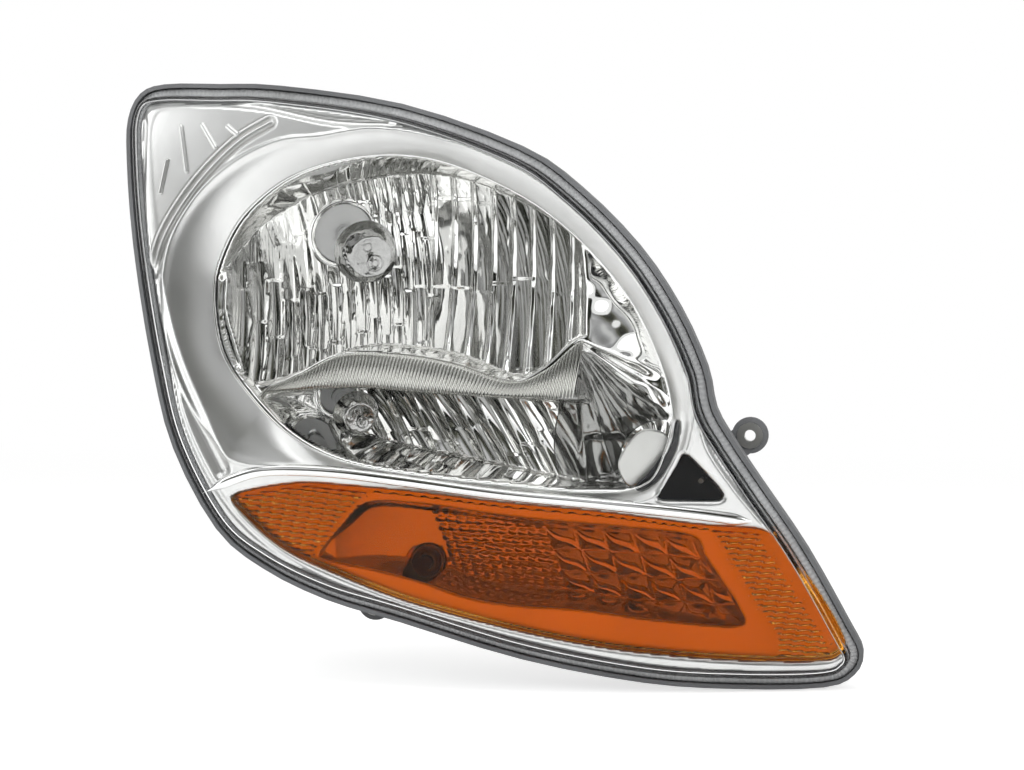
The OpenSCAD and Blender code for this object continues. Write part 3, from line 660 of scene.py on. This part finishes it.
def sheet_piece(points, faces, name, body, material, replaces=(), wall=1.6):
    """A one-sided sheet that faces forwards, thickened backwards into a closed wall."""
    mesh = bpy.data.meshes.new(name)
    mesh.from_pydata(metres(points).tolist(), [], faces.tolist())
    mesh.shade_smooth()
    mesh.materials.append(material)
    piece = bpy.data.objects.new(name, mesh)
    bpy.context.scene.collection.objects.link(piece)
    thicken(piece, wall)
    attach(piece, body)
    if replaces:
        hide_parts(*replaces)
    return piece


bezel_edge = grown(rim_curve, -11.9)
points, faces = patch(bezel_edge, [mouth_curve, amber_curve, RECESS, SLOT], 1.05, bezel_depth)
sheet_piece(points, faces, "bezel_skin", "housing", satin_silver, ("bezel",))


def collar(curve, shift0, shift1, out, name, body, slot, material):
    """A short wall behind a closed edge: four rings, from shift0 back to shift1, out thick."""
    rings = [ring_at(curve, 0.0, shift0), ring_at(curve, 0.0, shift1), ring_at(curve, -out, shift1),
             ring_at(curve, -out, shift0)]
    points, faces = loft(rings, closed_across=True)
    mesh = bpy.data.meshes.new(name)
    mesh.from_pydata(metres(points).tolist(), [], faces.tolist())
    return add_object(mesh, name, body, material)


points, faces = patch(grown(SLOT, 1.0), [], 0.6, lambda x, z: bezel_depth(x, z) + 1.9)
sheet_piece(points, faces, "bezel_slot", "housing", black_plastic, wall=0.6)
MOUTH_LIP = (BEZEL_S + 10.8, BEZEL_S + 13.0)
collar(mouth_curve, *MOUTH_LIP, 1.5, "bezel_lip", "housing", "bezel_chrome", bright_chrome)


def strip_along(path, profile, name, body, material):
    """A moulding along an open path in X, depth and Z: each (side, rise) of the profile is laid
    across it, the side square to the path in X and Z, the rise towards the viewer."""
    path = np.asarray(path, float)
    along = np.gradient(path[:, [0, 2]], axis=0)
    along /= np.linalg.norm(along, axis=1, keepdims=True)
    side = np.stack([-along[:, 1], np.zeros(len(path)), along[:, 0]], axis=1)
    count = len(path)
    place = np.arange(count)
    taper = smooth(place, 0, count * 0.05) * smooth(-place, 1 - count, 1 - count * 0.95)
    taper = np.maximum(taper, 0.02)
    across, rise = np.array(profile).T
    rings = path[:, None] + side[:, None] * (across * taper[:, None])[..., None]
    rings[..., 1] -= rise * np.minimum(1, taper * 1.2)[:, None]
    n, m = rings.shape[:2]
    i, j = np.arange(n - 1)[:, None], np.arange(m)[None, :]
    faces = np.stack([i * m + j, i * m + (j + 1) % m, (i + 1) * m + (j + 1) % m, (i + 1) * m + j],
                     axis=-1).reshape(-1, 4).tolist()
    faces += [list(range(m)), list(range((n - 1) * m, n * m))]
    mesh = bpy.data.meshes.new(name)
    mesh.from_pydata(metres(rings.reshape(-1, 3)).tolist(), [], faces)
    return add_object(mesh, name, body, material)


def half_round(width, height, steps=12):
    """The cross-section of a bead: half an ellipse with a flat back."""
    turn = np.linspace(0, math.pi, steps)
    return [(width / 2 * math.cos(a), height * math.sin(a)) for a in turn]


BAR = [(-172, -60), (-152, -51), (-131, -46), (-95, -46), (-54, -50), (3, -57), (58, -62),
       (113, -68), (146, -73)]
bar_path = open_curve(BAR, 160)
bar_path = np.stack([bar_path[:, 0], sag(bar_path[:, 0], bar_path[:, 1]) + BEZEL_S + 1.0,
                     bar_path[:, 1]], axis=1)
strip_along(bar_path, half_round(7.0, 3.4), "bezel_bar", "housing", bright_chrome)

RIB_ENDS = [((-197, 132), (-201, 110)), ((-190, 152), (-184, 122)), ((-177, 152), (-166, 136)),
            ((-161, 150), (-153, 144))]
for number, (start, end) in enumerate(RIB_ENDS):
    line = open_curve([start, end], 30)
    line = np.stack([line[:, 0], sag(line[:, 0], line[:, 1]) + BEZEL_S + 0.3, line[:, 1]], axis=1)
    strip_along(line, half_round(3.4, 1.7), f"bezel_rib_{number + 1}", "housing",
                satin_silver)


# ---------------------------------------------------------------------------------------------
# Main reflector: one moulding with two bowls on tilted bulb axes, metallised to a mirror. The
# dipped bowl above is fluted, a knurled shelf parts the bowls, and the land beside them is folded.
# ---------------------------------------------------------------------------------------------
OUT, DOWN = math.radians(26.0), math.radians(13.0)
FORWARD = np.array([math.sin(OUT) * math.cos(DOWN), -math.cos(OUT) * math.cos(DOWN), -math.sin(DOWN)])
SIDEWAYS = np.array([math.cos(OUT), math.sin(OUT), 0.0])
UPWARD = np.cross(SIDEWAYS, -FORWARD)
DIPPED = np.array([-110.2, 135.8, 89.8])
MAIN = np.array([-111.0, 121.0, -6.0])
DIPPED_HOLE, MAIN_HOLE = 18.5, 11.5


def bowl_depth(x, z, hub, focus):
    """Depth of a paraboloid of revolution about the tilted axis through hub: the root of the
    quadratic that says radius squared equals four times focus times distance along the axis."""
    ax, ay, az = FORWARD
    dx, dz = x - hub[0], z - hub[2]
    q = ax * dx + az * dz
    a = 1 - ay * ay
    b = -2 * ay * (q + 2 * focus)
    c = dx * dx + dz * dz - q * q - 4 * focus * q
    return hub[1] + (-b + np.sqrt(np.maximum(b * b - 4 * a * c, 0.0))) / (2 * a)


def hole_outline(hub, radius, focus, count=90):
    """The edge of a bulb's hole: a circle about the axis, where it meets the bowl."""
    turn = np.linspace(0, 2 * math.pi, count, endpoint=False)
    ring = hub + FORWARD * radius ** 2 / (4 * focus) + radius * (
        np.cos(turn)[:, None] * SIDEWAYS + np.sin(turn)[:, None] * UPWARD)
    return ring[:, [0, 2]]


BAND_TOP = [(-175, 2), (-142, 1), (-120, 9), (-96, 20), (-64, 20), (-32, 15), (2, 5), (22, 12),
            (41, 28), (60, 30)]
BAND_LOW = [(-175, -10), (-134, -4), (-120, -3), (-102, -1), (-76, 0), (-50, -2), (-15, -4),
            (31, -6), (60, -6)]
band_top = open_curve(BAND_TOP, 200)
band_low = open_curve(BAND_LOW, 200)
LAND_S, SHELF_S = 35.0, 42.0                  # behind the dome: the land, and the shelf's face
EDGE_S, WALL_SLOPE = 30.8, 11.0               # the mouth's edge, and how steeply the wall falls
STRIP_PITCH, FLUTE_PITCH, SLANTED_PITCH = 13.2, 7.4, 14.0


def random_of(i, j, seed):
    """A fixed number from nought to one for each pair of whole numbers."""
    return np.modf(np.abs(np.sin(i * 12.9898 + j * 78.233 + seed * 37.719) * 43758.5453))[0]


def flutes(x, z, pitch, rise, lean, seed):
    """Hollow flutes between sharp ridges, cut across at odd heights, each facet tipped its own
    way: rise times the square of the distance from the facet's middle, plus a random slope."""
    across = (x - lean * (z - 60.0)) / pitch
    i = np.floor(across)
    u = across - i - 0.5
    tall = 34.0
    up = z / tall + random_of(i, 0.0, seed)
    j = np.floor(up)
    v = up - j - 0.5
    tip = (random_of(i, j, seed + 1) - 0.5) * 2.4 * v + (random_of(i, j, seed + 2) - 0.5) * 1.2 * u
    return -rise * (4 * u * u) - 0.5 * (4 * v * v) + tip


def strips(x, z):
    """Tall mirror strips between thin ridges: a bell-shaped ridge on each edge, a faint hollow
    between, and a slope of its own for each strip above and below a cut."""
    across = (x - 0.05 * (z - 60.0) + 3.0) / STRIP_PITCH
    i = np.floor(across)
    u = across - i - 0.5
    up = (z - 64.0 + 16.0 * random_of(i, 0.0, 2.0)) / 52.0
    j = np.floor(up)
    tip = (random_of(i, j, 4.0) - 0.5) * 1.5 * u + (random_of(i, j, 6.0) - 0.5) * 2.6 * (up - j - 0.5)
    return -1.5 * np.exp(-((0.5 - np.abs(u)) * STRIP_PITCH / 0.75) ** 2) - 1.6 * u * u + tip


def folds(x, z, seed):
    """Soft folds: a sum of sine waves in several directions."""
    total = np.zeros_like(x)
    for k, (length, turn, high) in enumerate(((58, 0.4, 1.5), (37, 1.5, 1.0), (26, 2.4, 0.6),
                                              (17, 0.9, 0.3), (11, 2.0, 0.12))):
        along = x * math.cos(turn) + z * math.sin(turn)
        total += high * np.sin(along * 2 * math.pi / length + seed * (k + 1.7) + 1.4 * np.sin(z / (9 + k)))
    return total


def reflector_depth(x, z):
    """The dipped bowl above the shelf and the main bowl below it, each cut into a folded land that
    tips back to the right, with a wall down from the mouth all round: at each place the deeper
    of bowl and land, but never deeper than the mouth's edge plus the slope times the distance in."""
    focus = 36.0 - 18.5 * np.clip((x + 165.0) / 215.0, 0, 1.3)
    left = smooth(-x, 50.0, 60.0)
    wide = strips(x, z)
    narrow = flutes(x, z, FLUTE_PITCH, 0.9, -0.1, 5.0)
    dipped = bowl_depth(x, z, DIPPED, focus) + wide * (1 - left) + narrow * left
    slanted = flutes(x + 0.55 * z, z, SLANTED_PITCH, 1.2, 0.0, 9.0)
    low_focus = 17.0 + 8.0 * np.clip((x + 140.0) / 180.0, 0, 1)
    main = bowl_depth(x, z, MAIN, low_focus) + slanted
    tip = np.maximum(5.0 + 0.16 * (x - 40.0) - 0.06 * (z - 40.0), 0.0)
    land = sag(x, z) + LAND_S + 0.8 * folds(x, z, 2.0) + tip
    turn = np.arctan2(z - 30.0, x - 38.0)
    fan = smooth(-turn, 0.35, 0.6) * smooth(-np.hypot(x - 44.0, z + 12.0), -50.0, -38.0)
    land = land + fan * (5.0 + 2.6 * np.abs(np.sin(turn * 17.0)) + 6.0 * smooth(-z, 24.0, 30.0))
    top = np.interp(x, band_top[:, 0], band_top[:, 1])
    low = np.interp(x, band_low[:, 0], band_low[:, 1])
    shelf = sag(x, z) + SHELF_S
    above, below = smooth(z - top, -0.2, 1.6), smooth(low - z, -0.2, 1.6)
    upper, lower = np.maximum(dipped, land), np.maximum(main, land)
    depth = shelf * (1 - above) * (1 - below) + upper * above + lower * below
    beside = smooth(x, 40.0, 50.0)
    depth = depth * (1 - beside) + land * beside
    to_mouth, _ = distance_to(x, z, mouth_curve)
    to_mouth = np.where(inside(x, z, mouth_curve), to_mouth, 0.0)
    wall = sag(x, z) + EDGE_S + WALL_SLOPE * to_mouth
    return np.minimum(depth, wall)


mirror = metallised("reflector_mirror", (0.90, 0.90, 0.885), 0.045, 0.05, 40.0, 0.03)
reflector_edge = grown(mouth_curve, 3.6)
points, faces = patch(reflector_edge, [hole_outline(DIPPED, DIPPED_HOLE, 30.0),
                                       hole_outline(MAIN, MAIN_HOLE, 18.0)], 0.9, reflector_depth)
sheet_piece(points, faces, "reflector_bowls", "reflector", mirror,
            ("main_reflector",), wall=1.8)


BAND_RIBS = 92
# How far up the band, and how far it stands out there.
BAND_PROFILE = ((0.0, 0.0), (0.04, 1.4), (0.3, 2.2), (0.55, 2.4), (0.8, 2.0), (0.96, 1.2), (1.0, 0.0))


def build_band():
    """The knurled front of the shelf: rows between its lower and upper edges, with cosine ribs."""
    count = BAND_RIBS * 6
    x = np.linspace(-140.0, 42.0, count)
    top = np.interp(x, band_top[:, 0], band_top[:, 1])
    low = np.interp(x, band_low[:, 0], band_low[:, 1])
    rib = 0.45 * np.cos(np.arange(count) * 2 * math.pi / 6)
    rows = []
    for share, rise in BAND_PROFILE:
        z = low + (top - low) * share
        lean = x + (share - 0.5) * 6.0
        y = sag(x, z) + SHELF_S + 0.4 - rise - rib * (rise > 0)
        rows.append(np.stack([lean, y, z], axis=1))
    rows = np.stack(rows, axis=0)
    m, n = rows.shape[:2]
    i, j = np.arange(m - 1)[:, None], np.arange(n - 1)[None, :]
    faces = np.stack([i * n + j, (i + 1) * n + j, (i + 1) * n + j + 1, i * n + j + 1], axis=-1)
    return rows.reshape(-1, 3), faces.reshape(-1, 4)[:, ::-1]


points, faces = build_band()
band_chrome = metallised("band_chrome", (0.58, 0.58, 0.55), 0.12, 0.05, 40.0, 0.05)
sheet_piece(points, faces, "shelf_band", "reflector", band_chrome, wall=1.2)

FAN = closed_curve([(44, 22), (62, 9), (82, -6), (91, -16), (78, -20), (69, -27), (64, -38), (66, -49),
                    (54, -51), (40, -51), (28, -48), (25, -30), (30, -8), (37, 10)], 200)
points, faces = patch(FAN, [], 0.9, lambda x, z: reflector_depth(x, z) - 0.9)
sheet_piece(points, faces, "land_fan", "reflector",
            metallised("fan_chrome", (0.30, 0.30, 0.29), 0.10, 0.1), wall=0.8)

PAD = closed_curve([(66, -40), (72, -29), (80, -22), (90, -23), (94, -28), (91, -38), (83, -48),
                    (73, -54), (68, -49)], 120)
points, faces = patch(PAD, [], 0.9, lambda x, z: sag(x, z) + 31.0)
sheet_piece(points, faces, "land_pad", "reflector",
            metallised("pad_satin", (0.62, 0.62, 0.60), 0.32, 0.1), wall=1.5)


# ---------------------------------------------------------------------------------------------
# Reflector's collars: behind each hole a round seat is moulded on for the bulb.
# ---------------------------------------------------------------------------------------------
def along_axis(hub, s, r, turn):
    """A point on the bulb's tilted axis: s forward of the hub, r out in the direction turn."""
    return (hub + np.multiply.outer(s, FORWARD)
            + np.multiply.outer(r * np.cos(turn), SIDEWAYS) + np.multiply.outer(r * np.sin(turn), UPWARD))


def turned(hub, profile, count=96):
    """A closed turning about the bulb's axis: each (forward, radius) of the profile swept round."""
    turn = np.linspace(0, 2 * math.pi, count, endpoint=False)
    rings = [along_axis(hub, np.full(count, s), np.full(count, r), turn) for s, r in profile]
    return loft(rings, closed_across=True)


def mesh_of(name, parts):
    """One mesh from several (points, faces) parts."""
    starts = np.cumsum([0] + [len(points) for points, _ in parts])
    faces = np.vstack([np.asarray(face) + start for (_, face), start in zip(parts, starts)])
    mesh = bpy.data.meshes.new(name)
    mesh.from_pydata(metres(np.vstack([points for points, _ in parts])).tolist(), [], faces.tolist())
    return mesh


for name, hub, radius in (("dipped_collar", DIPPED, DIPPED_HOLE), ("main_collar", MAIN, MAIN_HOLE)):
    ring = turned(hub, [(4.0, radius + 4), (-8.0, radius + 4), (-8.0, radius + 0.05), (4.0, radius + 0.05)])
    add_object(mesh_of(name, [ring]), name, "reflector", mirror)

# ---------------------------------------------------------------------------------------------
# Shields: a deep-drawn chrome cup in front of each bulb, its side coned, its face dished with
# plain embossed rings; one flat strut carries it from below.
# ---------------------------------------------------------------------------------------------
def bead_ring(hub, s, side, up, radius, thick, count=48, around=12):
    """A torus round a line parallel to the axis, side and up from it."""
    a = np.linspace(0, 2 * math.pi, count, endpoint=False)[:, None]
    b = np.linspace(0, 2 * math.pi, around, endpoint=False)[None, :]
    out = radius + thick * np.cos(b)
    place = (hub + SIDEWAYS * side + UPWARD * up
             + (s + thick * np.sin(b) + 0 * a)[..., None] * FORWARD
             + (out * np.cos(a))[..., None] * SIDEWAYS + (out * np.sin(a))[..., None] * UPWARD)
    return loft(list(place), closed_across=True)


def shield_parts(hub, r, s, depth, focus):
    """The cup as one turning, its two rings and the strut's box down to the bowl."""
    face, back = r * 0.68, s - depth
    cup = [(s - 0.9, 0.02), (s - 0.9, face * 0.30), (s - 0.5, face * 0.62), (s + 0.1, face * 0.86),
           (s + 0.2, face * 0.95), (s - 0.2, face), (s - 1.6, face + 1.0), (s - 3.2, r - 2.6),
           (s - depth * 0.6, r - 1.5), (back + 1.2, r - 0.3), (back + 0.4, r), (back, r), (back, r - 0.9),
           (back + 2.4, r - 2.0), (s - 4.4, face - 0.4), (s - 2.2, face - 0.8), (s - 2.2, 0.02)]
    strut_z = r - 1.0
    foot = strut_z ** 2 / (4 * focus) + 1.0
    corners = np.array([hub + FORWARD * (back + 1.0 if k & 1 else foot) + SIDEWAYS * (3 if k & 2 else -3)
                        + UPWARD * (-strut_z + (0.6 if k & 4 else -0.6)) for k in range(8)])
    box = [(0, 1, 3, 2), (4, 6, 7, 5), (0, 4, 5, 1), (2, 3, 7, 6), (0, 2, 6, 4), (1, 5, 7, 3)]
    return [turned(hub, cup), bead_ring(hub, s - 0.6, -face * 0.18, face * 0.42, face * 0.20, 0.42),
            bead_ring(hub, s - 0.6, face * 0.22, -face * 0.32, face * 0.36, 0.5),
            bead_ring(hub, s - 0.7, face * 0.22, -face * 0.32, face * 0.16, 0.4), (corners, box)]


cup_chrome = metallised("shield_chrome", (0.46, 0.46, 0.45), 0.12, 0.5, 160.0, 0.06)
for name, hub, r, s, depth, focus in (("dipped", DIPPED, 18.5, 66.0, 14.0, 26.0),
                                      ("main", MAIN, 13.5, 54.0, 10.0, 20.0)):
    mesh = mesh_of(name + "_cup", shield_parts(hub, r, s, depth, focus))
    add_object(mesh, name + "_cup", "reflector", cup_chrome, (name + "_shield",))

# ---------------------------------------------------------------------------------------------
# Bulbs: a pale glazed base fills each hole, a clear glass stands in front of it, and bright wire
# clips hold the flange from behind.
# ---------------------------------------------------------------------------------------------
def glazed(name, colour, roughness):
    """Glazed ceramic: an even pale body with faint clouds under a thin coat."""
    material = bpy.data.materials.new(name)
    t = Tree(material)
    broad = t.noise(t.object_place(), 40.0, 3.0)
    shader = t.node("ShaderNodeBsdfPrincipled", None,
                    Base_Color=t.ramp(broad, (0.3, tuple(c * 0.96 for c in colour)), (0.7, colour)),
                    Roughness=broad * 0.1 + roughness, Coat_Weight=0.4)[0]
    t.finish(shader)
    return material


def worn_metal(name, colour, roughness):
    """Bare plated metal: fine drawn streaks in its gloss and a little tarnish."""
    material = bpy.data.materials.new(name)
    t = Tree(material)
    streak = t.noise(t.object_place((60.0, 900.0, 60.0)), 1.0, 2.0)
    broad = t.noise(t.object_place(), 90.0, 4.0, 0.6)
    shader = t.node("ShaderNodeBsdfPrincipled", None,
                    Base_Color=t.ramp(broad, (0.35, tuple(c * 0.8 for c in colour)), (0.7, colour)),
                    Metallic=1.0, Roughness=streak * 0.15 + broad * 0.12 + roughness,
                    Normal=t.bump(streak, 0.1, 0.0002))[0]
    t.finish(shader)
    return material


pale_base = glazed("bulb_metal", (0.93, 0.93, 0.92), 0.3)
bulb_glass = clear_plastic("bulb_glass", (0.99, 0.99, 0.99), 0.0, 1.47)
zinc_steel = worn_metal("zinc_steel", (0.62, 0.62, 0.60), 0.28)
spring_steel = worn_metal("spring_steel", (0.55, 0.55, 0.56), 0.2)
for name in ("dipped_bulb_base", "main_bulb_base"):
    dress(name, pale_base)
for name in ("dipped_bulb_glass", "main_bulb_glass"):
    dress(name, bulb_glass)
for name in ("dipped_clip", "main_clip"):
    dress(name, spring_steel)

# ---------------------------------------------------------------------------------------------
# Aiming gear, screws and bushes: turned steel, zinc plated; the connector's blades are brass.
# ---------------------------------------------------------------------------------------------
for name in ("pivot_stud", "height_rod", "side_rod", "bezel_screws", "mount_bushes"):
    dress(name, zinc_steel)
dress("connector_pins", worn_metal("pin_brass", (0.80, 0.66, 0.36), 0.22))

# ---------------------------------------------------------------------------------------------
# Indicator reflector: a metallised tub behind the amber window. A shallow land runs round it; the
# deep part is smooth on the left, finely pillowed in the middle and set with big pillows beyond.
# The tub's metal is coloured darker than the land's: painted shade for the dark reflections in it.
# ---------------------------------------------------------------------------------------------
AMBER_S = 12.0
WINDOW = [(-104, -93), (-90, -76), (-75, -63), (-44, -63), (-5, -68), (22, -71), (69, -75),
          (107, -80), (115, -92), (124, -106), (133, -121), (133, -132), (91, -129), (45, -123),
          (12, -121), (-17, -117), (-45, -108), (-70, -102), (-98, -97)]
window_curve = closed_curve(WINDOW, 300)


def pillows(x, z, pitch_x, pitch_z, rise, seed):
    """Cushions in leaning columns: a bulge in each cell, tipped its own way."""
    across = (x + TUB_LEAN * (z + 70.0)) / pitch_x
    up = z / pitch_z + 0.06 * across
    i, j = np.floor(across), np.floor(up)
    u, v = across - i - 0.5, up - j - 0.5
    tip = (random_of(i, j, seed) - 0.5) * u + (random_of(i, j, seed + 3) - 0.5) * v
    return -rise * (1 - 4 * u * u) * (1 - 4 * v * v) + rise * 1.1 * tip


LAND_GAP = 6.5                               # from the window's face back to the land
BIG_PILLOW = (16.5, 13.0, 3.6)               # pitch across, pitch up and rise
SMALL_PILLOW = (5.6, 5.0, 1.3)
TUB_LEAN = 0.36                              # how far the pillows' columns lean


def tub_land(x, z):
    """The dome's depth, a little behind the amber window."""
    return sag(x, z) + AMBER_S + LAND_GAP


def tub_depth(x, z):
    """Steep walls down from the land to the pillowed bottom."""
    to_window, _ = distance_to(x, z, window_curve)
    to_window = np.where(inside(x, z, window_curve), to_window, 0.0)
    big = pillows(x, z, *BIG_PILLOW, 3.0)
    small = pillows(x, z, *SMALL_PILLOW, 7.0)
    to_big = smooth(x + TUB_LEAN * (z + 70), 16.0, 18.0)
    to_small = smooth(x + 0.3 * z, -68.0, -62.0)
    bottom = 62.0 + 10.0 * np.cos((x - 10) / 90.0) - 0.006 * (z + 96.0) ** 2
    bottom = bottom - 0.007 * np.minimum(x + 34.0, 0.0) ** 2
    bottom = np.maximum(bottom, tub_land(x, z) + 6.0) + big * to_big + small * to_small * (1 - to_big)
    return np.minimum(tub_land(x, z) + 0.3 + 6.0 * to_window, bottom)


BULB_AT, BULB_HOLE_R = np.array([-47.0, -100.0]), 10.0
turn = np.linspace(0, 2 * math.pi, 60, endpoint=False)
bulb_hole = BULB_AT + BULB_HOLE_R * np.stack([np.cos(turn), np.sin(turn)], axis=1)
points, faces = patch(window_curve, [bulb_hole], 0.8, tub_depth)
# painted shade: the tub's mirror metal gets a darker colour (0.62) than the land's (0.93), standing in for
# the dark reflections deep in the window
tub_chrome_painted_shade = metallised("tub_chrome_painted_shade", (0.62, 0.62, 0.60), 0.06, 0.05, 40.0, 0.03)
sheet_piece(points, faces, "indicator_tub", "housing", tub_chrome_painted_shade,
            ("indicator_reflector",), wall=1.4)
points, faces = patch(grown(amber_curve, 0.6), [window_curve], 1.0, tub_land)
sheet_piece(points, faces, "indicator_land", "housing",
            metallised("land_satin", (0.93, 0.93, 0.92), 0.34, 0.1), wall=1.4)

# ---------------------------------------------------------------------------------------------
# Amber filter: one clear amber moulding. Fine level ribs cover both ends, a row of beads parts
# them from the smooth window, and a rolled edge tucks behind the bezel.
# ---------------------------------------------------------------------------------------------
RIB_PITCH, RIB_RISE, BEAD_PITCH, BEAD_RISE = 3.1, 0.75, 2.6, 0.8
LEFT_LINE = open_curve([(-72, -58), (-86, -71), (-96, -82), (-107, -95)], 40)
SLANT_LINE = open_curve([(117, -76), (129, -96), (140, -116), (153, -137)], 40)
RIGHT_LINE = open_curve([(147, -82), (161, -104), (173, -123), (185, -144)], 40)


def right_of(x, z, line):
    """How far points lie to the right of a falling line, level with them."""
    return x - np.interp(-z, -line[:, 1], line[:, 0])


def filter_depth(x, z):
    """The dome's depth, with cosine ribs at both ends, beads along the lines and a rolled edge."""
    left = smooth(-right_of(x, z, LEFT_LINE), 1.0, 2.0)
    right = smooth(right_of(x, z, SLANT_LINE), 1.0, 2.0) * smooth(-right_of(x, z, RIGHT_LINE), 1.0, 2.0)
    rib = np.abs(np.cos((z + 0.10 * x) * math.pi / RIB_PITCH))
    to_edge, _ = distance_to(x, z, amber_curve)
    ribs = RIB_RISE * rib * (left + right) * smooth(to_edge, 1.5, 3.0)
    beads = 0.0
    for line in (LEFT_LINE, SLANT_LINE, RIGHT_LINE):
        away, near = distance_to(x, z, line, closed=False)
        bead = 0.55 + 0.45 * np.cos(near[:, 1] * 2 * math.pi / BEAD_PITCH)
        beads = beads + BEAD_RISE * (1 - smooth(away, 0.2, 1.3)) * bead
    roll = 1.5 * (1 - smooth(to_edge, 0.0, 2.0))
    return sag(x, z) + AMBER_S - ribs - beads * smooth(to_edge, 1.0, 2.0) + roll


def amber_plastic(name, colour):
    """Dyed clear moulding: it lets orange light through, straight for the studio's light."""
    return clear_plastic(name, colour, 0.03, 1.5)


amber = amber_plastic("amber_plastic", (0.76, 0.31, 0.03))
points, faces = patch(grown(amber_curve, 0.9), [], 0.75, filter_depth)
sheet_piece(points, faces, "amber_window", "housing", amber, ("amber_filter",), wall=2.0)
dress("indicator_bulb", amber_plastic("amber_glass", (1.0, 0.72, 0.35)))
